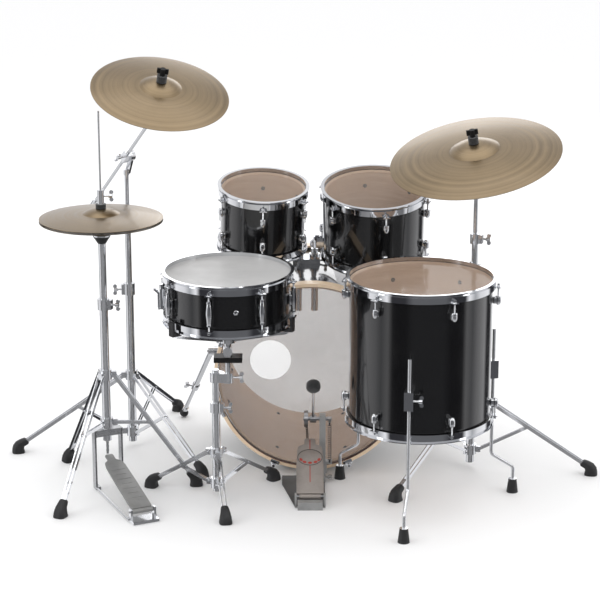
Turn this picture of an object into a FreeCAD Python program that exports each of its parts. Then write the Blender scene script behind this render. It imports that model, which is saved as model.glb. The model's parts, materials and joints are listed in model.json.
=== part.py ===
import FreeCAD, Part
import math
import os

# Five piece acoustic drum kit with its stands, cymbals and pedals. Millimetres, +Z up.
# The origin is on the floor under the middle of the kit; the player sits on the -Y side.

V = FreeCAD.Vector
UP = V(0, 0, 1)
INCH = 25.4
# The layout below is measured from a point near the pedal; the kit's origin is this far from it.
ORIGIN = V(11.08, 7.256, 0)
os.makedirs("parts", exist_ok=True)

# Shells, heads and hoops
SHELL_WALL = 7.0
BEARING_FLAT = 1.5
HEAD_THICK = 1.0
FLESH_RING_DROP = 9.0
HOOP_STEEL = 2.3
HOOP_RISE = 12.0
HOOP_DROP = 14.0
HOOP_LIP = 11.0
HOOP_SKIRT = 8.5
ROD_OFFSET = 15.0
ROD_RADIUS = 2.7
EAR_HOLE_RADIUS = 3.2
EAR_REACH = 22.0
EAR_WIDTH = 22.0
LUG_DROP = 38.0
LUG_BODY = 17.0
LUG_NOSE = 10.0
LUG_RADIUS = 8.5
FOOT_SINK = 8.0

# Drums: where each one stands and how it leans
FLOOR_TOM_RADIUS = 8 * INCH
FLOOR_TOM_DEPTH = 16 * INCH
FLOOR_TOM_TOP = V(353, -258, 688)
FLOOR_TOM_LUGS = [-38.5 + 60 * i for i in range(6)]
LEFT_TOM_RADIUS = 5 * INCH
LEFT_TOM_DEPTH = 7 * INCH
LEFT_TOM_TOP = V(-99, 140, 861)
LEFT_TOM_NORMAL = V(0.032, -0.178, 0.984)
LEFT_TOM_LUGS = [1 + 60 * i for i in range(6)]
RIGHT_TOM_RADIUS = 6 * INCH
RIGHT_TOM_DEPTH = 8 * INCH
RIGHT_TOM_TOP = V(236, 192, 843)
RIGHT_TOM_NORMAL = V(0, -0.208, 0.978)
RIGHT_TOM_LUGS = [-50 + 60 * i for i in range(6)]
SNARE_RADIUS = 7 * INCH
SNARE_DEPTH = 5 * INCH
SNARE_TOP = V(-195, -220, 696)
SNARE_NORMAL = V(0, -0.019, 1)
SNARE_LUGS = [-14 + 45 * i for i in range(8)]
STRAINER_ANGLE = -81.5
GRIP_ANGLES = [-51.5, 68.5, 188.5]
BASS_RADIUS = 11 * INCH
BASS_DEPTH = 18 * INCH
BASS_X = 44.0
BASS_Z = 311.0
BASS_BATTER_Y = -24.0
BASS_HOOP_RADIUS = 291.0
BASS_HOOP_RISE = 14.0
BASS_HOOP_DROP = 24.0
BASS_ROD_OFFSET = 20.5
BASS_LUG_DROP = 46.0
BASS_LUG_BODY = 34.0
CLAW_STEEL = 3.2
CLAW_WIDTH = 30.0
BASS_LUGS = [22.5 + 45 * i for i in range(8)]
PORT_RADIUS = 66.0
PORT_AT = V(-85, 0, 217)

# Tom holder on top of the bass drum
HOLDER_Y = 258.0
POST_X = [5.0, 55.0]
POST_RADIUS = 11.1
POST_TOP = 634.0
POST_BOTTOM = 436.0
BALL_RADIUS = 15.0
ARM_RADIUS = 6.3
HOLDER_LOW = 575.0
HOLDER_HIGH = 606.0

# Bass drum spurs
SPUR_PIVOT_OUT = 311.0
SPUR_FOOT_OUT = 414.0
SPUR_PIVOT_Y = 257.0
SPUR_FOOT_Y = 497.0
SPUR_PIVOT_Z = 303.0
SPUR_FOOT_Z = 18.0
SPUR_SPLIT = 0.58
SPUR_SLEEVE = 9.0
SPUR_PIN = 5.0
KNUCKLE_HALF = 9.0

# Floor tom legs
LEG_RADIUS = 5.0
LEG_TOP = 511.0
LEG_UPPER_BEND = 127.0
LEG_LOWER_BEND = 79.0
LEG_FOOT_HIGH = 42.0
LEG_CLAMP_Z = 390.0
LEG_OUT = 228.0
LEG_FOOT_OUT = 299.0
LEG_ANGLES = [-100.6, 17.3, 138.2]

# Tripod stands: centre, first leg angle, foot radius, hub heights
SNARE_STAND = V(-234.5, -205, 0)
SNARE_TRIPOD = (39, 212, 137, 44, 12.2)
HIHAT = V(-560, -133, 0)
HIHAT_TRIPOD = (3.5, 261, 354, 205, 12.7)
CRASH_STAND = V(-516, 226, 0)
CRASH_TRIPOD = (-50, 358, 236, 51, 12.7)
RIDE_STAND = V(529, 38, 0)
RIDE_TRIPOD = (-10.6, 368, 236, 59, 12.7)
FOOT_HEIGHT = 50.0
LEG_PIN_OUT = 24.0
LEG_END_Z = 26.0
HUB_EAR_OUT = 32.0
PIN_RADIUS = 2.6
PIN_HOLE = 2.7
SLIDE_GAP = 0.1
SOFT_GAP = 0.3

# Wing bolts
STUD_RADIUS = 3.2
WING_SPAN = 34.0
WING_RADIUS = 6.0
WING_THICK = 3.6

# Stand tubes: outer radius and bore of the lower, middle and upper tube
LOWER_TUBE = (12.7, 9.6)
MIDDLE_TUBE = (9.5, 6.6)
UPPER_TUBE = (6.5, 4.0)
TUBE_END_Z = 18.0
CRASH_LOWER_TOP = 532.0
CRASH_MIDDLE_LOW = 330.0
CRASH_MIDDLE_TOP = 752.0
CRASH_UPPER_LOW = 560.0
CRASH_UPPER_TOP = 885.0
RIDE_LOWER_TOP = 504.0
RIDE_MIDDLE_LOW = 300.0
RIDE_MIDDLE_TOP = 736.0
RIDE_UPPER_LOW = 540.0
RIDE_UPPER_TOP = 912.0

# Hi-hat
HAT_RADIUS = 7 * INCH
HAT_RIM_LOW = 817.0
HAT_RIM_HIGH = 825.0
HAT_RISE = 28.0
HAT_BELL_TOP = HAT_RIM_HIGH + HAT_RISE
HAT_ROD_RADIUS = 3.0
HAT_ROD_TOP = 1135.0
HEEL_DIRECTION = V(0.423, -0.906, 0)
HAT_HEEL_OUT = 285.0
HAT_LOWER_TUBE = (12.7, 11.1)
HAT_UPPER_TUBE = (11.0, 8.0)
HAT_CLAMP_LOW = 552.0
HAT_CLAMP_HIGH = 584.0
HAT_UPPER_LOW = 400.0
HAT_CUP_LOW = 750.0
HAT_CUP_RIM = 772.0
HAT_SEAT = 788.0
HAT_CLUTCH_LOW = 866.0
HAT_CLUTCH_HIGH = 907.0
HAT_FRAME_HALF = 41.0
HAT_BRIDGE_Z = 176.0
HAT_CHAIN_TOP = 170.0
HAT_CHAIN_LOW = 110.0
HINGE_Z = 30.0

# Snare stand
SNARE_LOWER_TUBE = (12.2, 10.1)
SNARE_UPPER_TUBE = (10.0, 7.5)
SNARE_CLAMP_LOW = 262.0
SNARE_CLAMP_HIGH = 292.0
SNARE_TILTER = V(-198, -212, 0)
SNARE_PIVOT_Z = 452.0
SNARE_LINK_Z = 370.0
BASKET_Z = 485.0
GRIP_Z = 536.5

# Cymbals
CYMBAL_THICK = 1.5
CRASH_RADIUS = 8 * INCH
CRASH_CENTRE = V(-398, 57, 1153)
CRASH_NORMAL = V(0.155, -0.351, 0.924)
RIDE_RADIUS = 10 * INCH
RIDE_NORMAL = V(-0.172, -0.253, 0.953)
RIDE_PIVOT = V(529, 38, 942)
CYMBAL_HOLE = 6.3
STUD_ABOVE_SEAT = 44.0
CRASH_SEAT_DROP = 60.0
CRASH_RISE = 38.0
RIDE_SEAT_DROP = -27.0
RIDE_RISE = 46.0
FELT_RADIUS = 15.0
BOOM_LOW = V(-635, 338, 749)
BOOM_RADIUS = 5.2
TILTER_Z = 935.0

# Bass drum pedal
PEDAL_X = 39.5
PEDAL_HEEL = V(39.5, -285, 30)
PEDAL_TOE = V(39.5, -105, 139)
SHAFT_Y = -88.0
SHAFT_Z = 200.0
CAM_X = 28.0
CAM_RADIUS = 25.0
BEATER_X = 49.0
BEATER_LEAN = 36.0
BEATER_LENGTH = 165.0
PEDAL_POST_X = 77.0
SPRING_X = 98.0
SHAFT_RADIUS = 6.0
HINGE_PIN = 3.0
PEDAL_PLATE = 4.0
PEDAL_RIGHT = 84.0
CHAIN_LOW = 141.0
BEATER_FELT = 21.0


def unit(vector):
    return V(vector).normalize()


def polar(angle, radius, z=0.0):
    """A point at an angle from +X, turning towards +Y."""
    turn = math.radians(angle)
    return V(radius * math.cos(turn), radius * math.sin(turn), z)


def around(angle, radius, z=0.0):
    """A point on a drum at an angle from its front (-Y) towards +X."""
    return polar(angle - 90, radius, z)


def place(shape, origin, normal=UP):
    """Stand a shape made about +Z at an origin, leaning along a normal."""
    move = FreeCAD.Placement(origin, FreeCAD.Rotation(UP, V(normal)))
    moved = shape.copy()
    moved.Placement = move.multiply(moved.Placement)
    return moved


def rod(start, end, radius):
    along = end - start
    return Part.makeCylinder(radius, along.Length, start, along)


def tube(start, end, radius, bore):
    along = end - start
    hole = Part.makeCylinder(bore, along.Length, start, along)
    return rod(start, end, radius).cut(hole)


def axes(start, along, side):
    """A placement whose X runs along, whose Y runs across to the side."""
    x = unit(along)
    z = unit(x.cross(V(side)))
    y = z.cross(x)
    rows = (x.x, y.x, z.x, start.x, x.y, y.y, z.y, start.y, x.z, y.z, z.z, start.z)
    return FreeCAD.Placement(FreeCAD.Matrix(*rows, 0, 0, 0, 1))


def bar(start, end, width, height, side):
    """A straight flat bar: its width lies along side."""
    along = end - start
    box = Part.makeBox(along.Length, width, height, V(0, -width / 2, -height / 2))
    box.Placement = axes(start, along, side)
    return box


def block(low, high):
    size = high - low
    return Part.makeBox(size.x, size.y, size.z, low)


def turned(profile):
    """A solid of revolution about Z from (radius, height) points."""
    points = [V(r, 0, z) for r, z in profile]
    face = Part.Face(Part.makePolygon(points + points[:1]))
    return face.revolve(V(0, 0, 0), UP, 360)


def pipe(points, radius, bend):
    """A round bar through points, with an arc of the bend radius at each corner."""
    edges = []
    start = points[0]
    for before, corner, after in zip(points, points[1:], points[2:]):
        into = unit(corner - before)
        out = unit(after - corner)
        turn = into.getAngle(out)
        setback = bend * math.tan(turn / 2)
        first = corner - into * setback
        last = corner + out * setback
        middle = corner + unit(out - into) * (bend / math.cos(turn / 2) - bend)
        edges.append(Part.LineSegment(start, first).toShape())
        edges.append(Part.Arc(first, middle, last).toShape())
        start = last
    edges.append(Part.LineSegment(start, points[-1]).toShape())
    path = Part.Wire(edges)
    ring = Part.Wire(Part.makeCircle(radius, points[0], points[1] - points[0]))
    return path.makePipeShell([ring], True, True)


def save(name, shapes):
    kit = Part.makeCompound(shapes)
    kit.translate(-ORIGIN)
    kit.exportStep(f"parts/{name}.step")


def wing_bolt(start, along, reach, wings=UP):
    """A stud with two rounded wings at its outer end."""
    along = unit(along)
    wings = V(wings)
    end = start + along * reach
    across = along.cross(wings)
    bolt = rod(start, end, STUD_RADIUS).fuse(rod(end - along * 7, end + along * 3, WING_RADIUS))
    tip = wings * (WING_SPAN / 2 - WING_RADIUS)
    bolt = bolt.fuse(bar(end - tip, end + tip, 8, WING_THICK, along))
    for side in (-1, 1):
        lobe = end + along + tip * side
        half = across * WING_THICK / 2
        bolt = bolt.fuse(rod(lobe - half, lobe + half, WING_RADIUS))
    return bolt


# ---------------------------------------------------------------- drums

def shell(radius, depth):
    """A ply shell hanging down from its top bearing edge at z = 0."""
    inner = radius - SHELL_WALL
    edge = radius - BEARING_FLAT
    profile = [
        (inner, -SHELL_WALL + BEARING_FLAT),
        (edge, 0),
        (radius, -BEARING_FLAT),
        (radius, -depth + BEARING_FLAT),
        (edge, -depth),
        (inner, -depth + SHELL_WALL - BEARING_FLAT),
    ]
    return turned(profile)


def drumhead(radius):
    """A film over a flesh ring that hangs outside the shell."""
    outer = radius + HOOP_SKIRT - HOOP_STEEL - 0.4
    inner = radius + 0.6
    low = -FLESH_RING_DROP
    return turned([(0, 0), (inner, 0), (inner, low), (outer, low), (outer, HEAD_THICK), (0, HEAD_THICK)])


def steel_hoop(radius, lug_angles):
    """A triple-flanged hoop with one drilled ear over each lug."""
    inner = radius + 1.0
    skirt = radius + HOOP_SKIRT
    lip = radius + HOOP_LIP
    ledge = HEAD_THICK + 0.2
    steel = HOOP_STEEL
    profile = [
        (inner, ledge),
        (inner, HOOP_RISE),
        (lip, HOOP_RISE),
        (lip, HOOP_RISE - steel),
        (inner + steel, HOOP_RISE - steel),
        (inner + steel, ledge + steel),
        (skirt, ledge + steel),
        (skirt, -HOOP_DROP),
        (skirt - steel, -HOOP_DROP),
        (skirt - steel, ledge),
    ]
    hoop = turned(profile)
    for angle in lug_angles:
        out = around(angle, 1)
        low = around(angle, skirt - 1, -HOOP_DROP + steel / 2)
        high = around(angle, radius + EAR_REACH, -HOOP_DROP + steel / 2)
        ear = bar(low, high, EAR_WIDTH, steel, UP.cross(out))
        hole = around(angle, radius + ROD_OFFSET, -HOOP_DROP - 1)
        hoop = hoop.fuse(ear).cut(rod(hole, hole + UP * 9, EAR_HOLE_RADIUS))
    return hoop


def tension_rod(at, low):
    """A rod with a washer and a square key head, above the ear of a hoop."""
    seat = -HOOP_DROP + HOOP_STEEL + 0.1
    washer = rod(at + UP * seat, at + UP * (seat + 1.6), 6.5)
    head = block(at + V(-3.2, -3.2, seat + 1.5), at + V(3.2, 3.2, seat + 10))
    return rod(at + UP * low, at + UP * (seat + 4), ROD_RADIUS).fuse([washer, head])


def bullet_lug(radius, angle):
    """A short bullet-shaped lug on a foot, with its tension rod."""
    at = around(angle, radius + ROD_OFFSET)
    out = around(angle, 1)
    collar = at - UP * LUG_DROP
    neck = collar - UP * LUG_BODY
    body = rod(collar, neck, LUG_RADIUS)
    nose = Part.makeCone(LUG_RADIUS, LUG_RADIUS / 2, LUG_NOSE, neck, V(0, 0, -1))
    foot_top = collar - out * FOOT_SINK - UP * 3
    foot = bar(foot_top, foot_top - UP * 20, 15, 18, UP.cross(out))
    hollow = rod(V(0, 0, -3 * LUG_DROP), V(0, 0, 0), radius)
    return body.fuse([nose, foot, tension_rod(at, -LUG_DROP - LUG_BODY)]).cut(hollow)


def tube_lug(radius, depth, angle):
    """A double-ended lug across a snare shell, with both tension rods."""
    at = around(angle, radius + ROD_OFFSET)
    middle = -depth / 2
    reach = depth / 2 - HOOP_DROP - 13
    out = around(angle, 1)
    body = rod(at + UP * (middle - reach), at + UP * (middle + reach), 7.0)
    waist = Part.makeSphere(13, at + UP * middle)
    base = at - out * 7 + UP * middle
    foot = bar(base - UP * 19, base + UP * 19, 16, 17, UP.cross(out))
    upper = tension_rod(at, middle - 1)
    hollow = rod(UP * -depth, UP * 0, radius)
    return body.fuse([waist, foot, upper, mirrored(upper, depth)]).cut(hollow)


def mirrored(shape, depth):
    """The same piece at the lower end of a drum of this depth."""
    return shape.mirror(V(0, 0, -depth / 2), UP)


def drum_pieces(radius, depth, lug_angles):
    """Shell, hoops, heads and lugs of a tom about +Z, top bearing edge at z = 0."""
    hoop = steel_hoop(radius, lug_angles)
    head = drumhead(radius)
    lugs = [bullet_lug(radius, angle) for angle in lug_angles]
    return {
        "shell": [shell(radius, depth)],
        "hoops": [hoop, mirrored(hoop, depth)],
        "heads": [head, mirrored(head, depth)],
        "lugs": lugs + [mirrored(lug, depth) for lug in lugs],
    }


def save_drum(name, pieces, top, normal):
    """Write a drum whose upper hoop lip is centred on top."""
    origin = top - unit(normal) * HOOP_RISE
    for part, shapes in pieces.items():
        save(f"{name}_{part}", [place(shape, origin, normal) for shape in shapes])


def make_floor_tom():
    pieces = drum_pieces(FLOOR_TOM_RADIUS, FLOOR_TOM_DEPTH, FLOOR_TOM_LUGS)
    save_drum("floor_tom", pieces, FLOOR_TOM_TOP, UP)
    brackets = []
    for number, angle in enumerate(LEG_ANGLES):
        save(f"floor_tom_leg_{number + 1}", floor_tom_leg(angle))
        brackets.append(leg_bracket(angle))
    save("floor_tom_leg_brackets", brackets)


def floor_tom_leg(angle):
    """A rod bent outwards near the floor, and its rubber foot."""
    centre = V(FLOOR_TOM_TOP.x, FLOOR_TOM_TOP.y, 0)
    axis = centre + polar(angle, LEG_OUT)
    floor = centre + polar(angle, LEG_FOOT_OUT)
    end = floor + UP * 6
    route = [axis + UP * LEG_TOP, axis + UP * LEG_UPPER_BEND, floor + UP * LEG_LOWER_BEND, end]
    foot = Part.makeCone(17, 12, LEG_FOOT_HIGH, floor, UP)
    return [pipe(route, LEG_RADIUS, 18), foot.cut(rod(end, floor + UP * LEG_FOOT_HIGH, LEG_RADIUS))]


def leg_bracket(angle):
    """The clamp block on the shell that a leg slides in."""
    centre = V(FLOOR_TOM_TOP.x, FLOOR_TOM_TOP.y, LEG_CLAMP_Z)
    out = polar(angle, 1)
    across = UP.cross(out)
    axis = centre + out * LEG_OUT
    body = bar(centre + out * (FLOOR_TOM_RADIUS - 3), axis + out * 11, 26, 54, across)
    bolt = wing_bolt(axis + across * 12, across, 22)
    bore = rod(axis - UP * 50, axis + UP * 50, LEG_RADIUS + SLIDE_GAP)
    hollow = rod(centre - UP * 100, centre + UP * 100, FLOOR_TOM_RADIUS)
    return body.fuse(bolt).cut(bore).cut(hollow)


def tom_arm(post, elbow, bracket, radius, top, normal, depth):
    """A bent arm from the post's ball up to the drum's side bracket."""
    arm = pipe([post, elbow, bracket + UP * 22], ARM_RADIUS, 20)
    ball = Part.makeSphere(BALL_RADIUS, post)
    origin = top - unit(normal) * HOOP_RISE
    socket = rod(bracket - UP * 18, bracket + UP * 18, 11)
    inward = origin - unit(normal) * (depth / 2) - bracket
    inward.z = 0
    across = UP.cross(inward)
    strap = bar(bracket, bracket + unit(inward) * 66, 26, 30, across)
    hollow = place(rod(V(0, 0, -depth), V(0, 0, 0), radius), origin, normal)
    margin = HOOP_DROP + 4
    plate = place(rod(V(0, 0, margin - depth), V(0, 0, -margin), radius + 4), origin, normal)
    window = bar(bracket, bracket + unit(inward) * 90, 52, 4 * depth, across)
    plate = plate.cut(hollow).common(window)
    return arm.fuse([ball, socket, strap.cut(hollow), plate])


def save_tom(name, radius, depth, top, normal, lug_angles, post_x, elbow, bracket_z):
    """A hanging tom with the arm that carries it from its post."""
    save_drum(name, drum_pieces(radius, depth, lug_angles), top, normal)
    post = V(post_x, HOLDER_Y, POST_TOP + BALL_RADIUS + SOFT_GAP)
    bracket = V(elbow.x, elbow.y, bracket_z)
    save(f"{name}_arm", [tom_arm(post, elbow, bracket, radius, top, normal, depth)])


def make_left_tom():
    drum = (LEFT_TOM_RADIUS, LEFT_TOM_DEPTH, LEFT_TOM_TOP, LEFT_TOM_NORMAL, LEFT_TOM_LUGS)
    save_tom("tom_left", *drum, POST_X[0], V(12, 292, 674), 765)


def make_right_tom():
    drum = (RIGHT_TOM_RADIUS, RIGHT_TOM_DEPTH, RIGHT_TOM_TOP, RIGHT_TOM_NORMAL, RIGHT_TOM_LUGS)
    save_tom("tom_right", *drum, POST_X[1], V(62, 222, 656), 664)


def make_tom_holder():
    """Receiver block on the bass drum with two sliding posts."""
    middle = V(sum(POST_X) / 2, HOLDER_Y, 0)
    body = block(middle + V(-42, -30, HOLDER_LOW), middle + V(42, 30, HOLDER_HIGH))
    for side in (-1, 1):
        body = body.fuse(wing_bolt(middle + V(side * 40, 0, HOLDER_HIGH - 10), V(side, 0, 0), 24))
    for name, x in zip(("tom_left_post", "tom_right_post"), POST_X):
        axis = V(x, HOLDER_Y, 0)
        body = body.fuse(rod(axis + UP * (HOLDER_HIGH - 6), axis + UP * (HOLDER_HIGH + 12), 17))
        save(name, [rod(axis + UP * POST_BOTTOM, axis + UP * POST_TOP, POST_RADIUS)])
    for x in POST_X:
        axis = V(x, HOLDER_Y, 0)
        body = body.cut(rod(axis, axis + UP * POST_TOP * 1.1, POST_RADIUS + SLIDE_GAP))
    start = V(BASS_X, BASS_BATTER_Y, BASS_Z)
    body = body.cut(rod(start, start + V(0, BASS_DEPTH, 0), BASS_RADIUS))
    save("tom_holder_base", [body])


def make_snare():
    hoop = steel_hoop(SNARE_RADIUS, SNARE_LUGS)
    head = drumhead(SNARE_RADIUS)
    depth = SNARE_DEPTH
    pieces = {
        "shell": [shell(SNARE_RADIUS, depth)],
        "hoops": [hoop, mirrored(hoop, depth)],
        "heads": [head, mirrored(head, depth)],
        "lugs": [tube_lug(SNARE_RADIUS, depth, angle) for angle in SNARE_LUGS],
        "strainer": snare_strainer(),
        "wires": snare_wires(),
        "lever": [strainer_lever()],
    }
    save_drum("snare", pieces, SNARE_TOP, SNARE_NORMAL)


def snare_strainer():
    """Throw-off body on one side of the shell and butt plate on the other."""
    hollow = rod(UP * -SNARE_DEPTH, V(0, 0, 0), SNARE_RADIUS)
    out = around(STRAINER_ANGLE, 1)
    across = UP.cross(out)
    face = out * (SNARE_RADIUS - 3) - UP * SNARE_DEPTH / 2
    body = bar(face, face + out * 21, 34, 60, across)
    screw = out * (SNARE_RADIUS + 11)
    knob = rod(screw - UP * 34, screw - UP * 23, 8)
    far = -out * (SNARE_RADIUS - 3) - UP * 84
    butt = bar(far, far - out * 15, 40, 34, across)
    return [body.fuse(knob).cut(hollow), butt.cut(hollow)]


def strainer_lever():
    """The lever that lies against the outer face of the throw-off."""
    out = around(STRAINER_ANGLE, 1)
    across = UP.cross(out)
    face = out * (SNARE_RADIUS + 21.3)
    hinge = face - UP * 92
    lever = bar(hinge, face - UP * 46, 22, 5, across)
    tip = bar(face - UP * 48, face + out * 13 - UP * 36, 18, 5, across)
    pivot = rod(hinge - across * 15, hinge + across * 15, 2.8)
    return lever.fuse([tip, pivot])


def snare_wires():
    """Flat band of snare wires under the lower head, with an end plate at each end."""
    out = around(STRAINER_ANGLE, 1)
    across = UP.cross(out)
    low = UP * (-SNARE_DEPTH - HEAD_THICK - 1.3)
    band = bar(low - out * 150, low + out * 150, 40, 1.6, across)
    ends = [bar(low + out * s * 148, low + out * s * 166, 44, 2.2, across) for s in (-1, 1)]
    return [band.fuse(ends)]


# ---------------------------------------------------------------- bass drum

def bass_place(shape):
    """Lay a drum piece made about +Z so that its top faces the player."""
    return place(shape, V(BASS_X, BASS_BATTER_Y, BASS_Z), V(0, -1, 0))


def bass_hoop():
    outer = BASS_HOOP_RADIUS
    inner = BASS_RADIUS + HOOP_SKIRT - HOOP_STEEL
    ledge = HEAD_THICK + 0.2
    profile = [
        (BASS_RADIUS + 1, ledge),
        (BASS_RADIUS + 1, BASS_HOOP_RISE),
        (outer, BASS_HOOP_RISE),
        (outer, -BASS_HOOP_DROP),
        (inner, -BASS_HOOP_DROP),
        (inner, ledge),
    ]
    return turned(profile)


def bass_lug(angle):
    """Single lug with a long T-shaped tension rod up to its claw."""
    at = around(angle, BASS_RADIUS + BASS_ROD_OFFSET)
    out = around(angle, 1)
    collar = at - UP * BASS_LUG_DROP
    neck = collar - UP * BASS_LUG_BODY
    body = rod(collar, neck, 9.5)
    nose = Part.makeCone(9.5, 4.5, 18, neck, V(0, 0, -1))
    foot = bar(collar - UP * 4 - out * 11, neck - UP * 12 - out * 11, 17, 22, UP.cross(out))
    stem = rod(at - UP * 60, at + UP * 14, STUD_RADIUS)
    key = rod(at + UP * 12, at + UP * 22, 5.2)
    hollow = rod(UP * -200, V(0, 0, 0), BASS_RADIUS)
    return body.fuse([nose, foot, stem, key]).cut(hollow)


def bass_claw(angle):
    """Hook that grips the hoop's outer face and lip."""
    out = around(angle, 1)
    across = UP.cross(out)
    outer = BASS_HOOP_RADIUS + 0.1
    face = BASS_HOOP_RISE + 0.1
    half = CLAW_STEEL / 2
    at = around(angle, BASS_RADIUS + BASS_ROD_OFFSET)
    wall = out * (outer + half)
    back = bar(wall - UP * 20, wall + UP * (face + 3), CLAW_WIDTH, CLAW_STEEL, across)
    edge = UP * (face + half)
    lip = bar(out * (outer - 9) + edge, out * (outer + 2) + edge, CLAW_WIDTH, CLAW_STEEL, across)
    boss = rod(at - UP * 12, at + UP * 11, 7)
    hole = rod(at - UP * 30, at + UP * 30, STUD_RADIUS + 0.2)
    rim = rod(UP * -60, UP * face, outer)
    return back.fuse([lip, boss]).cut(rim).cut(hole)


def make_bass_drum():
    body = bass_place(shell(BASS_RADIUS, BASS_DEPTH))
    for x in POST_X:
        axis = V(x, HOLDER_Y, BASS_Z)
        body = body.cut(rod(axis, axis + UP * 320, POST_RADIUS + 1.4))
    save("bass_shell", [body, spur_bracket(-1), spur_bracket(1)])
    hoop = bass_hoop()
    save("bass_hoops", [bass_place(hoop), bass_place(mirrored(hoop, BASS_DEPTH))])
    save("bass_batter_head", [bass_place(drumhead(BASS_RADIUS))])
    front = bass_place(mirrored(drumhead(BASS_RADIUS), BASS_DEPTH))
    port = Part.makeCylinder(PORT_RADIUS, 700, PORT_AT, V(0, 1, 0))
    save("bass_front_head", [front.cut(port)])
    lugs = [bass_lug(angle) for angle in BASS_LUGS]
    lugs += [mirrored(lug, BASS_DEPTH) for lug in lugs]
    save("bass_lugs", [bass_place(lug) for lug in lugs])
    claws = [bass_claw(angle) for angle in BASS_LUGS]
    claws += [mirrored(claw, BASS_DEPTH) for claw in claws]
    save("bass_claws", [bass_place(claw) for claw in claws])


def spur_pivot(side):
    return V(BASS_X + side * SPUR_PIVOT_OUT, SPUR_PIVOT_Y, SPUR_PIVOT_Z)


def spur_bracket(side):
    """Foot plate on the shell with a boss and the pin that the spur turns on."""
    pivot = spur_pivot(side)
    out = V(side, 0, 0)
    wall = V(BASS_X + side * (BASS_RADIUS - 6), SPUR_PIVOT_Y, SPUR_PIVOT_Z)
    plate = bar(wall, wall + out * 12, 64, 50, V(0, 1, 0))
    boss = rod(wall, pivot - out * (KNUCKLE_HALF + SOFT_GAP), 16)
    pin = rod(wall, pivot + out * (KNUCKLE_HALF + 4), SPUR_PIN)
    start = V(BASS_X, BASS_BATTER_Y, BASS_Z)
    return plate.fuse([boss, pin]).cut(rod(start, start + V(0, BASS_DEPTH, 0), BASS_RADIUS))


def make_spurs():
    """Telescopic folding spurs towards the front of the bass drum, one each side."""
    for name, side in (("bass_spur_left", -1), ("bass_spur_right", 1)):
        pivot = spur_pivot(side)
        foot = V(BASS_X + side * SPUR_FOOT_OUT, SPUR_FOOT_Y, SPUR_FOOT_Z)
        along = unit(foot - pivot)
        split = pivot + (foot - pivot) * SPUR_SPLIT
        half = V(side * KNUCKLE_HALF, 0, 0)
        leg = rod(pivot, foot, ARM_RADIUS)
        out = unit(V(side, 0, 0) - along * along.x * side)
        pieces = [rod(pivot - half, pivot + half, 15), rod(pivot, split, SPUR_SLEEVE)]
        pieces.append(rod(split - along * 16, split + along * 6, 12.5))
        pieces.append(rod(foot - along * 30, foot - along * 16, 9))
        pieces.append(wing_bolt(split - along * 5 + out * 9, out, 20, along))
        bore = rod(pivot - half * 2, pivot + half * 2, SPUR_PIN + SLIDE_GAP)
        tip = Part.makeSphere(14, foot - UP * 3)
        tip = tip.cut(block(foot - V(40, 40, 60), foot + V(40, 40, 2 - SPUR_FOOT_Z)))
        metal = leg.fuse(pieces).cut(bore)
        save(name, [metal, tip.cut(metal)])


# ---------------------------------------------------------------- stands

def leg_ends(centre, angle, reach, hub_z):
    """Where a leg is pinned to the upper hub, and where it ends inside its foot."""
    out = polar(angle, 1)
    return centre + out * LEG_PIN_OUT + UP * hub_z, centre + out * (reach - 8) + UP * LEG_END_Z


def leg_rails(centre, angle, reach, hub_z, middle):
    """Two flat rails from the upper hub to the foot, pinned at the hub."""
    out = polar(angle, 1)
    across = UP.cross(out)
    top, end = leg_ends(centre, angle, reach, hub_z)
    rails = [bar(top + across * s * 8.5, end + across * s * 5.2, 3, 11, across) for s in (-1, 1)]
    pin = top + out * 2
    hub_pin = rod(pin - across * 12, pin + across * 12, PIN_RADIUS)
    tip = bar(end - (end - top) * 0.12, end, 9, 7, across)
    pin_hole = rod(middle - across * 14, middle + across * 14, PIN_HOLE)
    return rails[0].fuse([rails[1], hub_pin, tip]).cut(pin_hole)


def brace_rails(centre, angle, hub_z, middle):
    """Two thin rails from the lower hub out to the middle of a leg."""
    out = polar(angle, 1)
    across = UP.cross(out)
    start = centre + out * LEG_PIN_OUT + UP * hub_z
    rails = [bar(start + across * s * 3.6, middle + across * s * 3.6, 2, 9, across) for s in (-1, 1)]
    pin = start + out * 2
    inner = rod(pin - across * 7, pin + across * 7, PIN_RADIUS)
    outer = rod(middle - across * 11, middle + across * 11, PIN_RADIUS)
    return rails[0].fuse([rails[1], inner, outer])


def hub(centre, first, z, tube_radius, ear_width):
    """A collar round the tube with a drilled ear for each leg."""
    middle = centre + UP * z
    body = rod(middle - UP * 15, middle + UP * 15, tube_radius + 6)
    for i in range(3):
        out = polar(first + 120 * i, 1)
        body = body.fuse(bar(middle, middle + out * HUB_EAR_OUT, ear_width, 18, UP.cross(out)))
    for i in range(3):
        out = polar(first + 120 * i, 1)
        across = UP.cross(out)
        pin = middle + out * (LEG_PIN_OUT + 2)
        body = body.cut(rod(pin - across * 20, pin + across * 20, PIN_HOLE))
    return body.cut(rod(centre, centre + UP * 900, tube_radius))


def leg_middle(centre, angle, reach, hub_high, share):
    """The point part of the way down a leg where its brace is pinned."""
    top, end = leg_ends(centre, angle, reach, hub_high)
    return top + (end - top) * share


def tripod(centre, spec, share):
    """Legs, braces and hubs of a double-braced tripod, without its tube or feet."""
    first, reach, hub_high, hub_low, tube_radius = spec
    pieces = [hub(centre, first, hub_high, tube_radius, 13)]
    pieces.append(hub(centre, first, hub_low, tube_radius, 4.8))
    for i in range(3):
        angle = first + 120 * i
        middle = leg_middle(centre, angle, reach, hub_high, share)
        pieces.append(leg_rails(centre, angle, reach, hub_high, middle))
        pieces.append(brace_rails(centre, angle, hub_low, middle))
    return pieces


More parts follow.
